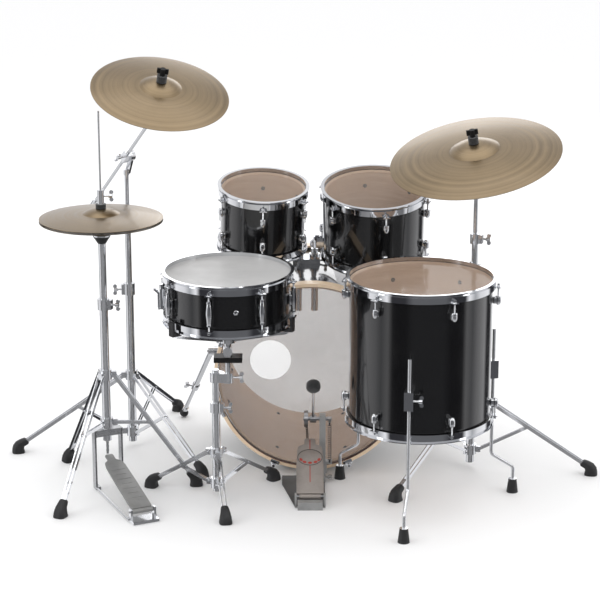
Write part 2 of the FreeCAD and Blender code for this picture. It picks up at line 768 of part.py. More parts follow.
def rubber_feet(centre, spec):
    """Flared rubber feet, hollowed where the leg ends enter them."""
    first, reach, hub_high, _, _ = spec
    feet = []
    for i in range(3):
        angle = first + 120 * i
        foot = Part.makeCone(21, 15, FOOT_HEIGHT, centre + polar(angle, reach), UP)
        middle = leg_middle(centre, angle, reach, hub_high, 0.5)
        feet.append(foot.cut(leg_rails(centre, angle, reach, hub_high, middle)))
    return feet


def clamp(centre, low, high, radius, bore, bolt_direction):
    """A height clamp: a collar with a wing bolt."""
    body = rod(centre + UP * low, centre + UP * high, radius)
    out = unit(bolt_direction)
    middle = centre + UP * (low + high) / 2
    cheek = bar(middle, middle + out * (radius + 8), 18, high - low - 4, UP.cross(out))
    bolt = wing_bolt(middle + out * (radius + 4), out, 22)
    return body.fuse([cheek, bolt]).cut(rod(centre, centre + UP * 1200, bore))


def make_crash_stand():
    """Tripod with the lower tube. Gives back the middle tube, which is one solid with its clamp."""
    centre = CRASH_STAND
    outer, bore = LOWER_TUBE
    base = tube(centre + UP * TUBE_END_Z, centre + UP * CRASH_LOWER_TOP, outer, bore)
    lower = clamp(centre, CRASH_LOWER_TOP - 36, CRASH_LOWER_TOP, 18, outer, V(-1, -0.3, 0))
    save("crash_stand_tripod", [base.fuse(lower)] + tripod(centre, CRASH_TRIPOD, 0.45))
    outer, bore = MIDDLE_TUBE
    middle = tube(centre + UP * CRASH_MIDDLE_LOW, centre + UP * CRASH_MIDDLE_TOP, outer, bore)
    grip = clamp(centre, CRASH_MIDDLE_TOP - 30, CRASH_MIDDLE_TOP, 15, outer, V(1, -0.4, 0))
    return middle.fuse(grip)


def boom_direction():
    end = CRASH_CENTRE - unit(CRASH_NORMAL) * CRASH_SEAT_DROP
    return unit(end - BOOM_LOW)


def boom_tilter_point():
    along = boom_direction()
    return BOOM_LOW + along * ((TILTER_Z - BOOM_LOW.z) / along.z)


def make_crash_boom(middle):
    """Upper tubes with their ratchet, the boom rod through it and the cymbal seat."""
    along = boom_direction()
    side = unit(UP.cross(V(along.x, along.y, 0)))
    pivot = boom_tilter_point()
    axis = V(CRASH_STAND.x, CRASH_STAND.y, 0)
    hinge = pivot - side * (pivot - axis).dot(side)
    ratchet = 16
    top = tube(axis + UP * CRASH_UPPER_LOW, axis + UP * CRASH_UPPER_TOP, *UPPER_TUBE)
    fork = rod(axis + UP * (CRASH_UPPER_TOP - 13), axis + UP * (CRASH_UPPER_TOP + 3), 9)
    disc = rod(hinge + side * 1.3, hinge + side * 9, ratchet)
    neck = bar(axis + side * 5 + UP * (CRASH_UPPER_TOP - 5), hinge + side * 5, 7.4, 18, side)
    save("crash_upper_tube", [middle, top.fuse([fork, neck, disc])])
    shoe = rod(hinge - side * 7, hinge + side * 1, ratchet)
    grip = bar(pivot - along * 18, pivot + along * 18, 20, 22, side)
    bolt = wing_bolt(pivot - side * 6, -side, 24, along)
    bore = rod(BOOM_LOW, BOOM_LOW + along * 600, BOOM_RADIUS + SLIDE_GAP)
    save("crash_boom_tilter", [shoe.fuse([grip, bolt]).cut(bore)])
    normal = unit(CRASH_NORMAL)
    seat = CRASH_CENTRE - normal * CRASH_SEAT_DROP
    weight = rod(BOOM_LOW - along * 12, BOOM_LOW + along * 30, 9)
    knuckle = Part.makeSphere(12, seat)
    reach = CRASH_SEAT_DROP + CRASH_RISE
    arm = rod(BOOM_LOW, seat, BOOM_RADIUS).fuse([weight, knuckle, cymbal_post(seat, normal, reach)])
    save("crash_boom_arm", [arm] + felts(seat, normal, reach))


def cymbal_post(seat, normal, reach):
    """Threaded post from a tilter up through a cymbal to its wing nut."""
    top = reach + STUD_ABOVE_SEAT
    post = rod(seat, seat + normal * top, 4)
    cup = rod(seat + normal * (reach - 30), seat + normal * (reach - 24), FELT_RADIUS)
    nut = rod(seat + normal * (reach + 22.2), seat + normal * top, 8)
    side = unit(normal.cross(V(0, 1, 0)))
    middle = seat + normal * (top - 8)
    wing = bar(middle - side * WING_SPAN / 2, middle + side * WING_SPAN / 2, 5, 16, normal.cross(side))
    return post.fuse([cup, nut, wing])


def felts(seat, normal, reach):
    """Felt washers under and over the cymbal's bell, round the post."""
    low = tube(seat + normal * (reach - 23.8), seat + normal * (reach - 3), FELT_RADIUS, 4)
    high = tube(seat + normal * (reach + 1), seat + normal * (reach + 22), FELT_RADIUS, 4)
    return [low, high]


def cymbal(radius, rise, bell_radius, bell_rise, direction=1):
    """A lathe-turned cymbal about +Z with its rim at z = 0 and its bell up or down."""
    hole = CYMBAL_HOLE
    bow_top = rise - bell_rise

    def edge_pair(drop):
        bell = Part.Arc(
            V(hole, 0, rise - drop),
            V(bell_radius * 0.62, 0, rise - drop - bell_rise * 0.3),
            V(bell_radius, 0, bow_top - drop),
        )
        bow = Part.Arc(
            V(bell_radius, 0, bow_top - drop),
            V((radius + bell_radius) / 2, 0, bow_top * 0.64 - drop),
            V(radius, 0, -drop),
        )
        return [bell.toShape(), bow.toShape()]

    outer = edge_pair(0)
    inner = edge_pair(CYMBAL_THICK)
    rim = Part.LineSegment(V(radius, 0, 0), V(radius, 0, -CYMBAL_THICK)).toShape()
    bore = Part.LineSegment(V(hole, 0, rise - CYMBAL_THICK), V(hole, 0, rise)).toShape()
    face = Part.Face(Part.Wire([outer[0], outer[1], rim, inner[1], inner[0], bore]))
    solid = face.revolve(V(0, 0, 0), UP, 360)
    return solid if direction > 0 else solid.mirror(V(0, 0, 0), UP)


def make_cymbals():
    crash = cymbal(CRASH_RADIUS, CRASH_RISE, 62, 17)
    save("crash_cymbal", [place(crash, CRASH_CENTRE, unit(CRASH_NORMAL))])
    normal = unit(RIDE_NORMAL)
    ride = cymbal(RIDE_RADIUS, RIDE_RISE, 74, 20)
    save("ride_cymbal", [place(ride, RIDE_PIVOT - normal * RIDE_SEAT_DROP, normal)])
    low = cymbal(HAT_RADIUS, HAT_RISE, 54, 15, -1)
    high = cymbal(HAT_RADIUS, HAT_RISE, 54, 15)
    save("hihat_bottom_cymbal", [place(low, HIHAT + UP * HAT_RIM_LOW)])
    save("hihat_top_cymbal", [place(high, HIHAT + UP * HAT_RIM_HIGH)])


def make_ride_stand():
    centre = RIDE_STAND
    outer, bore = LOWER_TUBE
    base = tube(centre + UP * TUBE_END_Z, centre + UP * (RIDE_LOWER_TOP - 34), outer, bore)
    lower = clamp(centre, RIDE_LOWER_TOP - 34, RIDE_LOWER_TOP, 18, bore, V(1, 0.3, 0))
    save("ride_stand_tripod", [base.fuse(lower)] + tripod(centre, RIDE_TRIPOD, 0.45))
    outer, bore = MIDDLE_TUBE
    middle = tube(centre + UP * RIDE_MIDDLE_LOW, centre + UP * (RIDE_MIDDLE_TOP - 30), outer, bore)
    grip = clamp(centre, RIDE_MIDDLE_TOP - 30, RIDE_MIDDLE_TOP, 15, bore, V(1, -0.35, 0))
    pivot = RIDE_PIVOT
    side = V(1, 0, 0)
    top = tube(centre + UP * RIDE_UPPER_LOW, centre + UP * RIDE_UPPER_TOP, *UPPER_TUBE)
    fork = rod(centre + UP * (RIDE_UPPER_TOP - 8), centre + UP * (RIDE_UPPER_TOP + 10), 12)
    cheek = bar(centre + UP * (RIDE_UPPER_TOP + 8) + side * 7, pivot + side * 7, 20, 6, V(0, 1, 0))
    disc = rod(pivot + side * 4, pivot + side * 12, 15)
    save("ride_upper_tube", [middle.fuse(grip), top.fuse([fork, cheek, disc])])
    normal = unit(RIDE_NORMAL)
    ear = rod(pivot - side * 8, pivot + side * 3.7, 14)
    bolt = wing_bolt(pivot - side * 6, -side, 20)
    reach = RIDE_RISE - RIDE_SEAT_DROP
    post = cymbal_post(pivot, normal, reach)
    save("ride_tilter", [ear.fuse([bolt, post])] + felts(pivot, normal, reach))


def make_snare_stand():
    centre = SNARE_STAND
    outer, bore = SNARE_LOWER_TUBE
    lower = tube(centre + UP * TUBE_END_Z, centre + UP * SNARE_CLAMP_LOW, outer, bore)
    grip = clamp(centre, SNARE_CLAMP_LOW, SNARE_CLAMP_HIGH, 17, bore, V(1, -0.2, 0))
    save("snare_stand_tripod", [lower.fuse(grip)] + tripod(centre, SNARE_TRIPOD, 0.5))
    top_axis = SNARE_TILTER
    outer, bore = SNARE_UPPER_TUBE
    link_z = SNARE_LINK_Z
    pivot_z = SNARE_PIVOT_Z
    upper = rod(centre + UP * 160, centre + UP * (link_z + 22), outer)
    link = bar(centre + UP * link_z, top_axis + UP * link_z, 28, 30, UP)
    boss = rod(centre + UP * (link_z - 15), centre + UP * (link_z + 15), 17)
    end = rod(top_axis + UP * (link_z - 15), top_axis + UP * (link_z + 15), 15)
    post = rod(top_axis + UP * (link_z - 10), top_axis + UP * (pivot_z - 20), 8)
    across = V(0, 1, 0)
    cheeks = []
    for s in (-1, 1):
        face = top_axis + across * s * 12
        cheeks.append(rod(face + UP * pivot_z, face + across * s * 8 + UP * pivot_z, 14))
        plate = face + across * s * 4
        cheeks.append(bar(plate + UP * (pivot_z - 24), plate + UP * pivot_z, 8, 18, across))
    yoke = block(top_axis + V(-9, -20, pivot_z - 25), top_axis + V(9, 20, pivot_z - 15))
    bolt = wing_bolt(top_axis + V(11, 0, link_z), V(1, 0, 0), 28)
    body = upper.fuse([link, boss, end, post, yoke, bolt] + cheeks)
    body = body.cut(rod(centre + UP * 100, centre + UP * (link_z - 15), bore))
    cover = block(top_axis + V(-40, -24, pivot_z - 31), top_axis + V(42, 22, pivot_z - 16))
    save("snare_stand_post", [body, cover.cut(body)])
    make_basket(top_axis)


def make_basket(axis):
    """Three-armed basket with rubber grips that hold the snare drum's lower hoop."""
    drum = V(SNARE_TOP.x, SNARE_TOP.y, 0)
    pivot = axis + UP * SNARE_PIVOT_Z
    core = rod(pivot - V(0, 11.7, 0), pivot + V(0, 11.7, 0), 14)
    stem = rod(pivot, axis + UP * BASKET_Z, 11)
    hub_plate = rod(axis + UP * (BASKET_Z - 7), axis + UP * (BASKET_Z + 7), 24)
    nut = rod(axis + UP * (BASKET_Z + 7), axis + UP * (BASKET_Z + 35), 7)
    arms = core.fuse([stem, hub_plate, nut])
    pads = []
    reach = SNARE_RADIUS + HOOP_LIP
    for angle in GRIP_ANGLES:
        out = around(angle, 1)
        across = UP.cross(out)
        end = drum + out * (reach - 6) + UP * (GRIP_Z - 7.5)
        flat = V(end.x - axis.x, end.y - axis.y, 0)
        start = axis + unit(flat) * 16 + UP * BASKET_Z
        arms = arms.fuse(bar(start, end, 12, 8, UP.cross(flat)))
        floor = drum + UP * GRIP_Z
        seat = bar(floor + out * (reach - 18), floor + out * (reach + 12), 20, 7, across)
        back = drum + out * (reach + 8.5)
        wall = bar(back + UP * (GRIP_Z - 2.5), back + UP * (GRIP_Z + 37.5), 20, 7, across)
        pads.append(seat.fuse(wall).cut(arms))
    save("snare_basket", [arms] + pads)


def make_hihat():
    centre = HIHAT
    outer, bore = HAT_LOWER_TUBE
    base = tube(centre + UP * 150, centre + UP * HAT_CLAMP_LOW, outer, bore)
    grip = clamp(centre, HAT_CLAMP_LOW, HAT_CLAMP_HIGH, 18, bore, V(1, -0.3, 0))
    pieces = tripod(centre, HIHAT_TRIPOD, 0.46)
    save("hihat_stand_tripod", [base.fuse(grip)] + pieces + hihat_frame())
    upper = tube(centre + UP * HAT_UPPER_LOW, centre + UP * (HAT_CUP_LOW + 2), *HAT_UPPER_TUBE)
    cup = Part.makeCone(12, 26, HAT_CUP_RIM - HAT_CUP_LOW, centre + UP * HAT_CUP_LOW, UP)
    rim = rod(centre + UP * HAT_CUP_RIM, centre + UP * (HAT_SEAT - 12), 26)
    felt = tube(centre + UP * (HAT_SEAT - 12), centre + UP * HAT_SEAT, 16, 6.4)
    bore = rod(centre, centre + UP * 900, 5)
    save("hihat_upper_tube", [upper.fuse([cup.cut(bore), rim.cut(bore)]), felt])
    make_pull_rod()


def make_pull_rod():
    """The rod with its chain block below, and the clutch that grips the top cymbal."""
    centre = HIHAT
    pull = rod(centre + UP * (HAT_CHAIN_TOP - 2), centre + UP * HAT_ROD_TOP, HAT_ROD_RADIUS)
    clutch = rod(centre + UP * HAT_CLUTCH_LOW, centre + UP * HAT_CLUTCH_HIGH, 10)
    sleeve = rod(centre + UP * (HAT_RIM_HIGH + 1), centre + UP * (HAT_CLUTCH_LOW + 2), 6.2)
    nut_low = centre + UP * (HAT_RIM_HIGH + 4)
    nut = rod(nut_low, nut_low + UP * 8, 11)
    bolt = wing_bolt(centre + V(8, 0, HAT_CLUTCH_HIGH - 17), V(1, 0, 0), 22)
    washers = [tube(nut_low + UP * 8, centre + UP * (HAT_BELL_TOP - 3.6), FELT_RADIUS, 6.2)]
    washers.append(tube(centre + UP * (HAT_BELL_TOP + 0.2), centre + UP * HAT_CLUTCH_LOW, FELT_RADIUS, 6.2))
    chain = block(centre + V(-3, -3, HAT_CHAIN_LOW), centre + V(3, 3, HAT_CHAIN_TOP))
    save("hihat_pull_rod", [pull.fuse([clutch, sleeve, nut, bolt, chain])] + washers)


def hihat_frame():
    """Inverted U frame under the tube, heel plate and the two thin radius rods."""
    centre = HIHAT
    heel = unit(HEEL_DIRECTION)
    across = UP.cross(heel)
    half = across * HAT_FRAME_HALF
    bridge = centre + UP * HAT_BRIDGE_Z
    top = bar(bridge - half, bridge + half, 26, 20, heel)
    sides = []
    for s in (-1, 1):
        edge = centre + half * s
        sides.append(bar(edge + UP * (HAT_BRIDGE_Z + 10), edge + UP * 2, 5, 26, across))
        sides.append(bar(edge + UP * 6, edge + UP * 6 - across * s * 12, 30, 10, heel))
    frame = top.fuse(sides)
    frame = frame.cut(rod(centre + UP * 100, centre + UP * 220, HAT_LOWER_TUBE[0]))
    end = centre + heel * HAT_HEEL_OUT
    plate = bar(end - heel * 16 + UP * 6, end + heel * 32 + UP * 6, 78, 8, across)
    for s in (-1, 1):
        ear = end + across * s * 35.5 + UP * 8
        plate = plate.fuse(bar(ear, ear + UP * 30, 6, 18, across))
    pin = end + UP * HINGE_Z
    plate = plate.cut(rod(pin - across * 50, pin + across * 50, HINGE_PIN + SLIDE_GAP))
    rods = []
    for s in (-1, 1):
        low = centre + half * s + UP * 8
        rods.append(rod(low + heel * 13, low + heel * HAT_HEEL_OUT, 3).cut(frame).cut(plate))
    return [frame, plate] + rods


def footboard(heel, toe, width, toe_width):
    """A tapering pedal board with a hinge knuckle under its heel end."""
    along = toe - heel
    across = unit(UP.cross(along))
    lift = unit(along.cross(across)) * 8
    if lift.z < 0:
        lift = -lift
    corners = [heel + across * width / 2, heel - across * width / 2]
    shoulder = heel + along * 0.8
    corners += [shoulder - across * width / 2, toe - across * toe_width / 2]
    corners += [toe + across * toe_width / 2, shoulder + across * width / 2]
    face = Part.Face(Part.makePolygon(corners + corners[:1]))
    board = face.extrude(lift)
    pin = rod(heel - across * 41, heel + across * 41, HINGE_PIN)
    knuckle = rod(heel - across * 31, heel + across * 31, 7)
    return board.fuse([knuckle, pin])


def make_hihat_footboard():
    heel = unit(HEEL_DIRECTION)
    start = HIHAT + heel * HAT_HEEL_OUT + UP * HINGE_Z
    end = HIHAT + heel * 6 + UP * 100
    save("hihat_footboard", [footboard(start, end, 64, 26)])


def pedal_frame():
    """Base plate, heel plate, post with the shaft's bearing, hoop clamp and spring foot."""
    heel_y = PEDAL_HEEL.y
    post_half = V(9, 13, 0)
    post = V(PEDAL_POST_X, SHAFT_Y, 0)
    frame = block(V(-5, heel_y - 15, 0), V(PEDAL_RIGHT, -60, PEDAL_PLATE))
    pieces = [block(V(3, heel_y - 34, 0), V(76, heel_y - 11, 24))]
    pieces.append(block(V(-44, -120, 0), V(PEDAL_RIGHT, -46, PEDAL_PLATE)))
    pieces.append(block(post - post_half + UP * 2, post + post_half + UP * (SHAFT_Z + 14)))
    pieces.append(block(V(BASS_X - 40, -62, 2), V(BASS_X + 40, -10, 32)))
    pieces.append(wing_bolt(V(PEDAL_RIGHT, -80, 12), V(1, 0, 0), 16, V(0, 1, 0)))
    pieces.append(block(V(PEDAL_RIGHT, SHAFT_Y - 12, 60), V(SPRING_X + 8, SHAFT_Y + 12, 68)))
    pieces.append(block(V(PEDAL_RIGHT, SHAFT_Y - 8, 30), V(PEDAL_RIGHT + 6, SHAFT_Y + 8, 68)))
    for s in (-1, 1):
        ear = V(PEDAL_X + s * 42, heel_y, 2)
        pieces.append(bar(ear, ear + UP * 36, 6, 18, V(1, 0, 0)))
    frame = frame.fuse(pieces)
    bearing = rod(V(-100, SHAFT_Y, SHAFT_Z), V(200, SHAFT_Y, SHAFT_Z), SHAFT_RADIUS + SLIDE_GAP)
    hinge = rod(V(-100, heel_y, HINGE_Z), V(200, heel_y, HINGE_Z), HINGE_PIN + SLIDE_GAP)
    hoop_front = V(BASS_X, BASS_BATTER_Y - BASS_HOOP_RISE - SOFT_GAP, BASS_Z)
    hoop = rod(hoop_front, hoop_front + V(0, 60, 0), BASS_HOOP_RADIUS + SOFT_GAP)
    return frame.cut(bearing).cut(hinge).cut(hoop)


def make_bass_pedal():
    save("pedal_frame", [pedal_frame()])
    board = footboard(PEDAL_HEEL, PEDAL_TOE, 76, 34)
    chain_y = SHAFT_Y + CAM_RADIUS + 3.6
    neck = bar(PEDAL_TOE + V(CAM_X - PEDAL_X, -6, 0), V(CAM_X, chain_y, CHAIN_LOW + 2), 12, 6, V(1, 0, 0))
    chain = block(V(CAM_X - 5, chain_y - 3, CHAIN_LOW), V(CAM_X + 5, chain_y + 3, SHAFT_Z))
    save("pedal_footboard", [board.fuse([neck, chain])])
    centre = V(0, SHAFT_Y, SHAFT_Z)
    shaft = rod(centre + V(CAM_X - 8, 0, 0), centre + V(SPRING_X + 6, 0, 0), SHAFT_RADIUS)
    cam = rod(centre + V(CAM_X - 6, 0, 0), centre + V(CAM_X + 6, 0, 0), CAM_RADIUS)
    holder = rod(centre + V(BEATER_X - 9, 0, 0), centre + V(BEATER_X + 9, 0, 0), 12)
    crank = bar(centre + V(SPRING_X, 0, 0), centre + V(SPRING_X, -22, 0), 7, 12, V(1, 0, 0))
    save("pedal_shaft", [shaft.fuse([cam, holder, crank])])
    lean = math.radians(BEATER_LEAN)
    along = V(0, -math.sin(lean), math.cos(lean))
    face = V(0, math.cos(lean), math.sin(lean))
    start = centre + V(BEATER_X, 0, 0)
    head = start + along * BEATER_LENGTH
    stem = rod(start + along * 12.1, head + along * 22, 4)
    felt = rod(head - face * 22, head + face * 22, BEATER_FELT)
    save("pedal_beater", [stem.fuse(felt)])
    spring = centre + V(SPRING_X, -18, 0)
    save("pedal_spring", [rod(spring + UP * (68 - SHAFT_Z), spring - UP * 6.2, 7)])


def make_feet():
    feet = []
    for centre, spec in (
        (SNARE_STAND, SNARE_TRIPOD),
        (HIHAT, HIHAT_TRIPOD),
        (CRASH_STAND, CRASH_TRIPOD),
        (RIDE_STAND, RIDE_TRIPOD),
    ):
        feet += rubber_feet(centre, spec)
    save("tripod_feet", feet)


def main():
    make_floor_tom()
    make_left_tom()
    make_right_tom()
    make_tom_holder()
    make_snare()
    make_bass_drum()
    make_spurs()
    make_crash_boom(make_crash_stand())
    make_cymbals()
    make_ride_stand()
    make_snare_stand()
    make_hihat()
    make_hihat_footboard()
    make_bass_pedal()
    make_feet()


main()
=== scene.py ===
import json
import math

import bmesh
import bpy
import numpy as np
from mathutils import Matrix, Vector

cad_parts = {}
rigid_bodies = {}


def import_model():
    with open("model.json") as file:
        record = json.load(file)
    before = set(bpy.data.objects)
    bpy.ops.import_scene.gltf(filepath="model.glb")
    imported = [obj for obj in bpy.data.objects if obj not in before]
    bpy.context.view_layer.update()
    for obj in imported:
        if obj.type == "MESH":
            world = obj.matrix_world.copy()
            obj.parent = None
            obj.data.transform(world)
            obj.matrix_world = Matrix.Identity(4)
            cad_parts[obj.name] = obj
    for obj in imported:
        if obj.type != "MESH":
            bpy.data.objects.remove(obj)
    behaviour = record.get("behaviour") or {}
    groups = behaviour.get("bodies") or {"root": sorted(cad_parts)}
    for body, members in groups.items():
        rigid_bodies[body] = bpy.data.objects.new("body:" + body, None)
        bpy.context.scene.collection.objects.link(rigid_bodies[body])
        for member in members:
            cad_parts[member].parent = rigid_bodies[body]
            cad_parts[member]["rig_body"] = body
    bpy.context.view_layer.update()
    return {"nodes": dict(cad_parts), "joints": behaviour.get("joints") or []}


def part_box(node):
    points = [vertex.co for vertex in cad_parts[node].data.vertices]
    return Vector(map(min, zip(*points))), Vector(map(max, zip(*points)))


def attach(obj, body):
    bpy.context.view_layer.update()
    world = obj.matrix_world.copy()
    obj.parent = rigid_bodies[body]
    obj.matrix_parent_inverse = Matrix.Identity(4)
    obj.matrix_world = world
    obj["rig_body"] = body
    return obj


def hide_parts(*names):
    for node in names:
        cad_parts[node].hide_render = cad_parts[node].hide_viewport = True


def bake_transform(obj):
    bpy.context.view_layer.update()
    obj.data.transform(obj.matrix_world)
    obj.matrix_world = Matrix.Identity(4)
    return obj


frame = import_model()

NODES = frame["nodes"]
JOINTS = {joint["name"]: joint for joint in frame["joints"]}
MM = 0.001
UP = Vector((0, 0, 1))
ALONG_X = Vector((1, 0, 0))
PLAYER = Vector((0, -1, 0))
LIE_ALONG_X = Matrix.Rotation(math.pi / 2, 4, "Y")

# ------------------------------------------------------------ reading the frame


def solids(node):
    """The corner points of each separate solid of a CAD node, as arrays."""
    mesh = NODES[node].data
    places = np.array([v.co for v in mesh.vertices])
    keys, first, index = np.unique(np.round(places, 6), axis=0, return_index=True, return_inverse=True)
    index = index.ravel()
    parent = list(range(len(keys)))

    def root(i):
        while parent[i] != i:
            parent[i] = parent[parent[i]]
            i = parent[i]
        return i

    for polygon in mesh.polygons:
        corners = [root(index[v]) for v in polygon.vertices]
        for other in corners[1:]:
            parent[root(other)] = root(corners[0])
    groups = {}
    for i in range(len(keys)):
        groups.setdefault(root(i), []).append(first[i])
    return [places[members] for members in groups.values()]


def middle(points):
    return Vector((points.min(0) + points.max(0)) / 2)


def frame_at(origin, x, y, z):
    """A frame at a point, with three directions as its axes."""
    made = Matrix((x, y, z)).transposed().to_4x4()
    made.translation = origin
    return made


class Drum:
    """Where a drum stands: its axis, the centre of its struck edge, its radius and depth."""

    def __init__(self, name, top_head, bottom_head):
        self.name = name
        self.axis = (top_head - bottom_head).normalized()
        points = max(solids(f"{name}_shell"), key=lambda found: np.ptp(found[:, 2]))
        heights = (points - np.array(top_head)) @ np.array(self.axis)
        self.top = top_head + self.axis * heights.max()
        self.depth = heights.max() - heights.min()
        across = points - np.array(top_head) - np.outer(heights, np.array(self.axis))
        self.radius = np.linalg.norm(across, axis=1).max()
        side = PLAYER if abs(self.axis.dot(PLAYER)) < 0.7 else -UP
        front = (side - self.axis * side.dot(self.axis)).normalized()
        self.matrix = frame_at(self.top, front, self.axis.cross(front), self.axis)
        self.inverse = self.matrix.inverted()

    def local(self, point):
        return self.inverse @ point

    def angle(self, point):
        place = self.local(point)
        return math.atan2(place.y, place.x)

    def station(self, angle, radius, height, flip=False):
        """A frame on the drum: Z along the drum's axis (down it if flipped), X pointing outwards."""
        out = Vector((math.cos(angle), math.sin(angle), 0))
        up = -UP if flip else UP
        return self.matrix @ frame_at(out * radius + UP * height, out, up.cross(out), up)


def head_centres(name):
    heads = sorted((middle(points) for points in solids(f"{name}_heads")), key=lambda place: -place.z)
    return heads[0], heads[1]


BASS = Drum("bass", middle(solids("bass_batter_head")[0]), middle(solids("bass_front_head")[0]))
DRUMS = {name: Drum(name, *head_centres(name)) for name in ("floor_tom", "tom_left", "tom_right", "snare")}
DRUMS["bass"] = BASS

# Millimetres: drops run down a drum from its bearing edge, offsets outwards from the outside of its shell.
WASHER_DROP = 11.6
LUG_DROP = 38.0
LUG_LENGTH = 27.0
ROD_OFFSET = 15.0
SEAT_GAP = 0.2
INNER_WALL = 7.1
SCREW_DROPS = {"floor_tom": 51, "tom_left": 51, "tom_right": 51, "bass": 73}
BASS_ROD_OFFSET = 20.5
BASS_LUG_DROP = 46
BASS_LUG_LENGTH = 52
BASS_HOOP_RADIUS = 291.0
BASS_HOOP_FACE = 14.2

# ------------------------------------------------------------ shapes


def moved(part, matrix):
    return [matrix @ p for p in part[0]], part[1]


def joined(parts):
    points = []
    faces = []
    for own_points, own_faces in parts:
        base = len(points)
        points += own_points
        faces += [tuple(i + base for i in face) for face in own_faces]
    return points, faces


def lathe(profile, steps=28, closed=False):
    """A solid of revolution about Z from (radius, height) points in millimetres, listed upwards."""
    points = []
    rings = []
    for radius, height in profile:
        if radius == 0:
            rings.append([len(points)])
            points.append(Vector((0, 0, height)) * MM)
            continue
        ring = []
        for i in range(steps):
            turn = 2 * math.pi * i / steps
            ring.append(len(points))
            points.append(Vector((radius * math.cos(turn), radius * math.sin(turn), height)) * MM)
        rings.append(ring)
    faces = []
    pairs = list(zip(rings, rings[1:]))
    if closed:
        pairs.append((rings[-1], rings[0]))
    for low, high in pairs:
        for i in range(steps):
            j = (i + 1) % steps
            if len(low) == 1 and len(high) == 1:
                continue
            if len(low) == 1:
                faces.append((low[0], high[j], high[i]))
            elif len(high) == 1:
                faces.append((low[i], low[j], high[0]))
            else:
                faces.append((low[i], low[j], high[j], high[i]))
    return points, faces


def sweep(route, radius, steps=10, closed=False):
    """A round rod of one radius, or a list of radii, along a list of points in metres."""
    route = [Vector(p) for p in route]
    count = len(route)
    radii = radius if isinstance(radius, list) else [radius] * count
    points = []
    side = None
    for i, place in enumerate(route):
        before = route[i - 1] if i or closed else place
        after = route[(i + 1) % count] if i + 1 < count or closed else place
        along = (after - before).normalized()
        if side is None:
            side = along.orthogonal()
        side = (side - along * side.dot(along)).normalized()
        other = along.cross(side)
        for k in range(steps):
            turn = 2 * math.pi * k / steps
            points.append(place + (side * math.cos(turn) + other * math.sin(turn)) * radii[i])
    faces = []
    for i in range(count if closed else count - 1):
        low = i * steps
        high = (i + 1) % count * steps
        for k in range(steps):
            n = (k + 1) % steps
            faces.append((low + k, low + n, high + n, high + k))
    if not closed:
        faces.append(tuple(reversed(range(steps))))
        faces.append(tuple(range((count - 1) * steps, count * steps)))
    return points, faces


def bevelled(points, faces, bevel, segments=2):
    """The same solid in millimetres with every edge rounded."""
    work = bmesh.new()
    corners = [work.verts.new(Vector(p) * MM) for p in points]
    for face in faces:
        work.faces.new([corners[i] for i in face])
    bmesh.ops.recalc_face_normals(work, faces=work.faces)
    bmesh.ops.bevel(
        work,
        geom=list(work.edges),
        offset=bevel * MM,
        segments=segments,
        profile=0.5,
        affect="EDGES",
        clamp_overlap=True,
    )
    work.verts.index_update()
    made = [v.co.copy() for v in work.verts], [tuple(v.index for v in f.verts) for f in work.faces]
    work.free()
    return made


def block(low, high, bevel=0.8, segments=2):
    """A rounded block between two corners in millimetres."""
    x, y, z = zip(low, high)
    points = [(x[i], y[j], z[k]) for i in (0, 1) for j in (0, 1) for k in (0, 1)]
    faces = [(0, 1, 3, 2), (4, 6, 7, 5), (0, 4, 5, 1), (2, 3, 7, 6), (0, 2, 6, 4), (1, 5, 7, 3)]
    return bevelled(points, faces, bevel, segments)


def prism(outline, low, high, bevel=0.8, segments=2):
    """A rounded plate: an XY outline in millimetres, anticlockwise, between two heights."""
    count = len(outline)
    points = [(x, y, low) for x, y in outline] + [(x, y, high) for x, y in outline]
    faces = [tuple(reversed(range(count))), tuple(range(count, 2 * count))]
    faces += [(i, (i + 1) % count, (i + 1) % count + count, i + count) for i in range(count)]
    return bevelled(points, faces, bevel, segments)


def arc(centre, radius, start, end, steps):
    """Points in millimetres on an arc, angles in degrees."""
    turns = [math.radians(start + (end - start) * i / steps) for i in range(steps + 1)]
    return [(centre[0] + radius * math.cos(t), centre[1] + radius * math.sin(t)) for t in turns]


def facing(origin, along, across=ALONG_X):
    """A frame at a point with Z along a direction and X as near as it can be to another."""
    z = Vector(along).normalized()
    x = (Vector(across) - z * z.dot(Vector(across))).normalized()
    return frame_at(origin, x, z.cross(x), z)


def piece(name, part, body, finish, replaces=(), sharp=32):
    """A finished mesh object that rides on a body, or on none."""
    mesh = bpy.data.meshes.new(name)
    mesh.from_pydata([tuple(p) for p in part[0]], [], part[1])
    mesh.validate()
    work = bmesh.new()
    work.from_mesh(mesh)
    bmesh.ops.remove_doubles(work, verts=work.verts, dist=1e-6)
    bmesh.ops.recalc_face_normals(work, faces=work.faces)
    work.to_mesh(mesh)
    work.free()
    mesh.shade_smooth()
    mesh.set_sharp_from_angle(angle=math.radians(sharp))
    made = bpy.data.objects.new(name, mesh)
    bpy.context.scene.collection.objects.link(made)
    mesh.materials.append(finish)
    if body:
        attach(made, body)
    if replaces:
        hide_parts(*replaces)
    return made


# ------------------------------------------------------------ material nodes


def new_material(name, colour, metallic=0.0, roughness=0.4, **sockets):
    made = bpy.data.materials.new(name)
    made.use_nodes = True
    shader = made.node_tree.nodes["Principled BSDF"]
    shader.inputs["Base Color"].default_value = (*colour, 1)
    shader.inputs["Metallic"].default_value = metallic
    shader.inputs["Roughness"].default_value = roughness
    for key, value in sockets.items():
        shader.inputs[key.replace("_", " ")].default_value = value
    return made, made.node_tree, shader


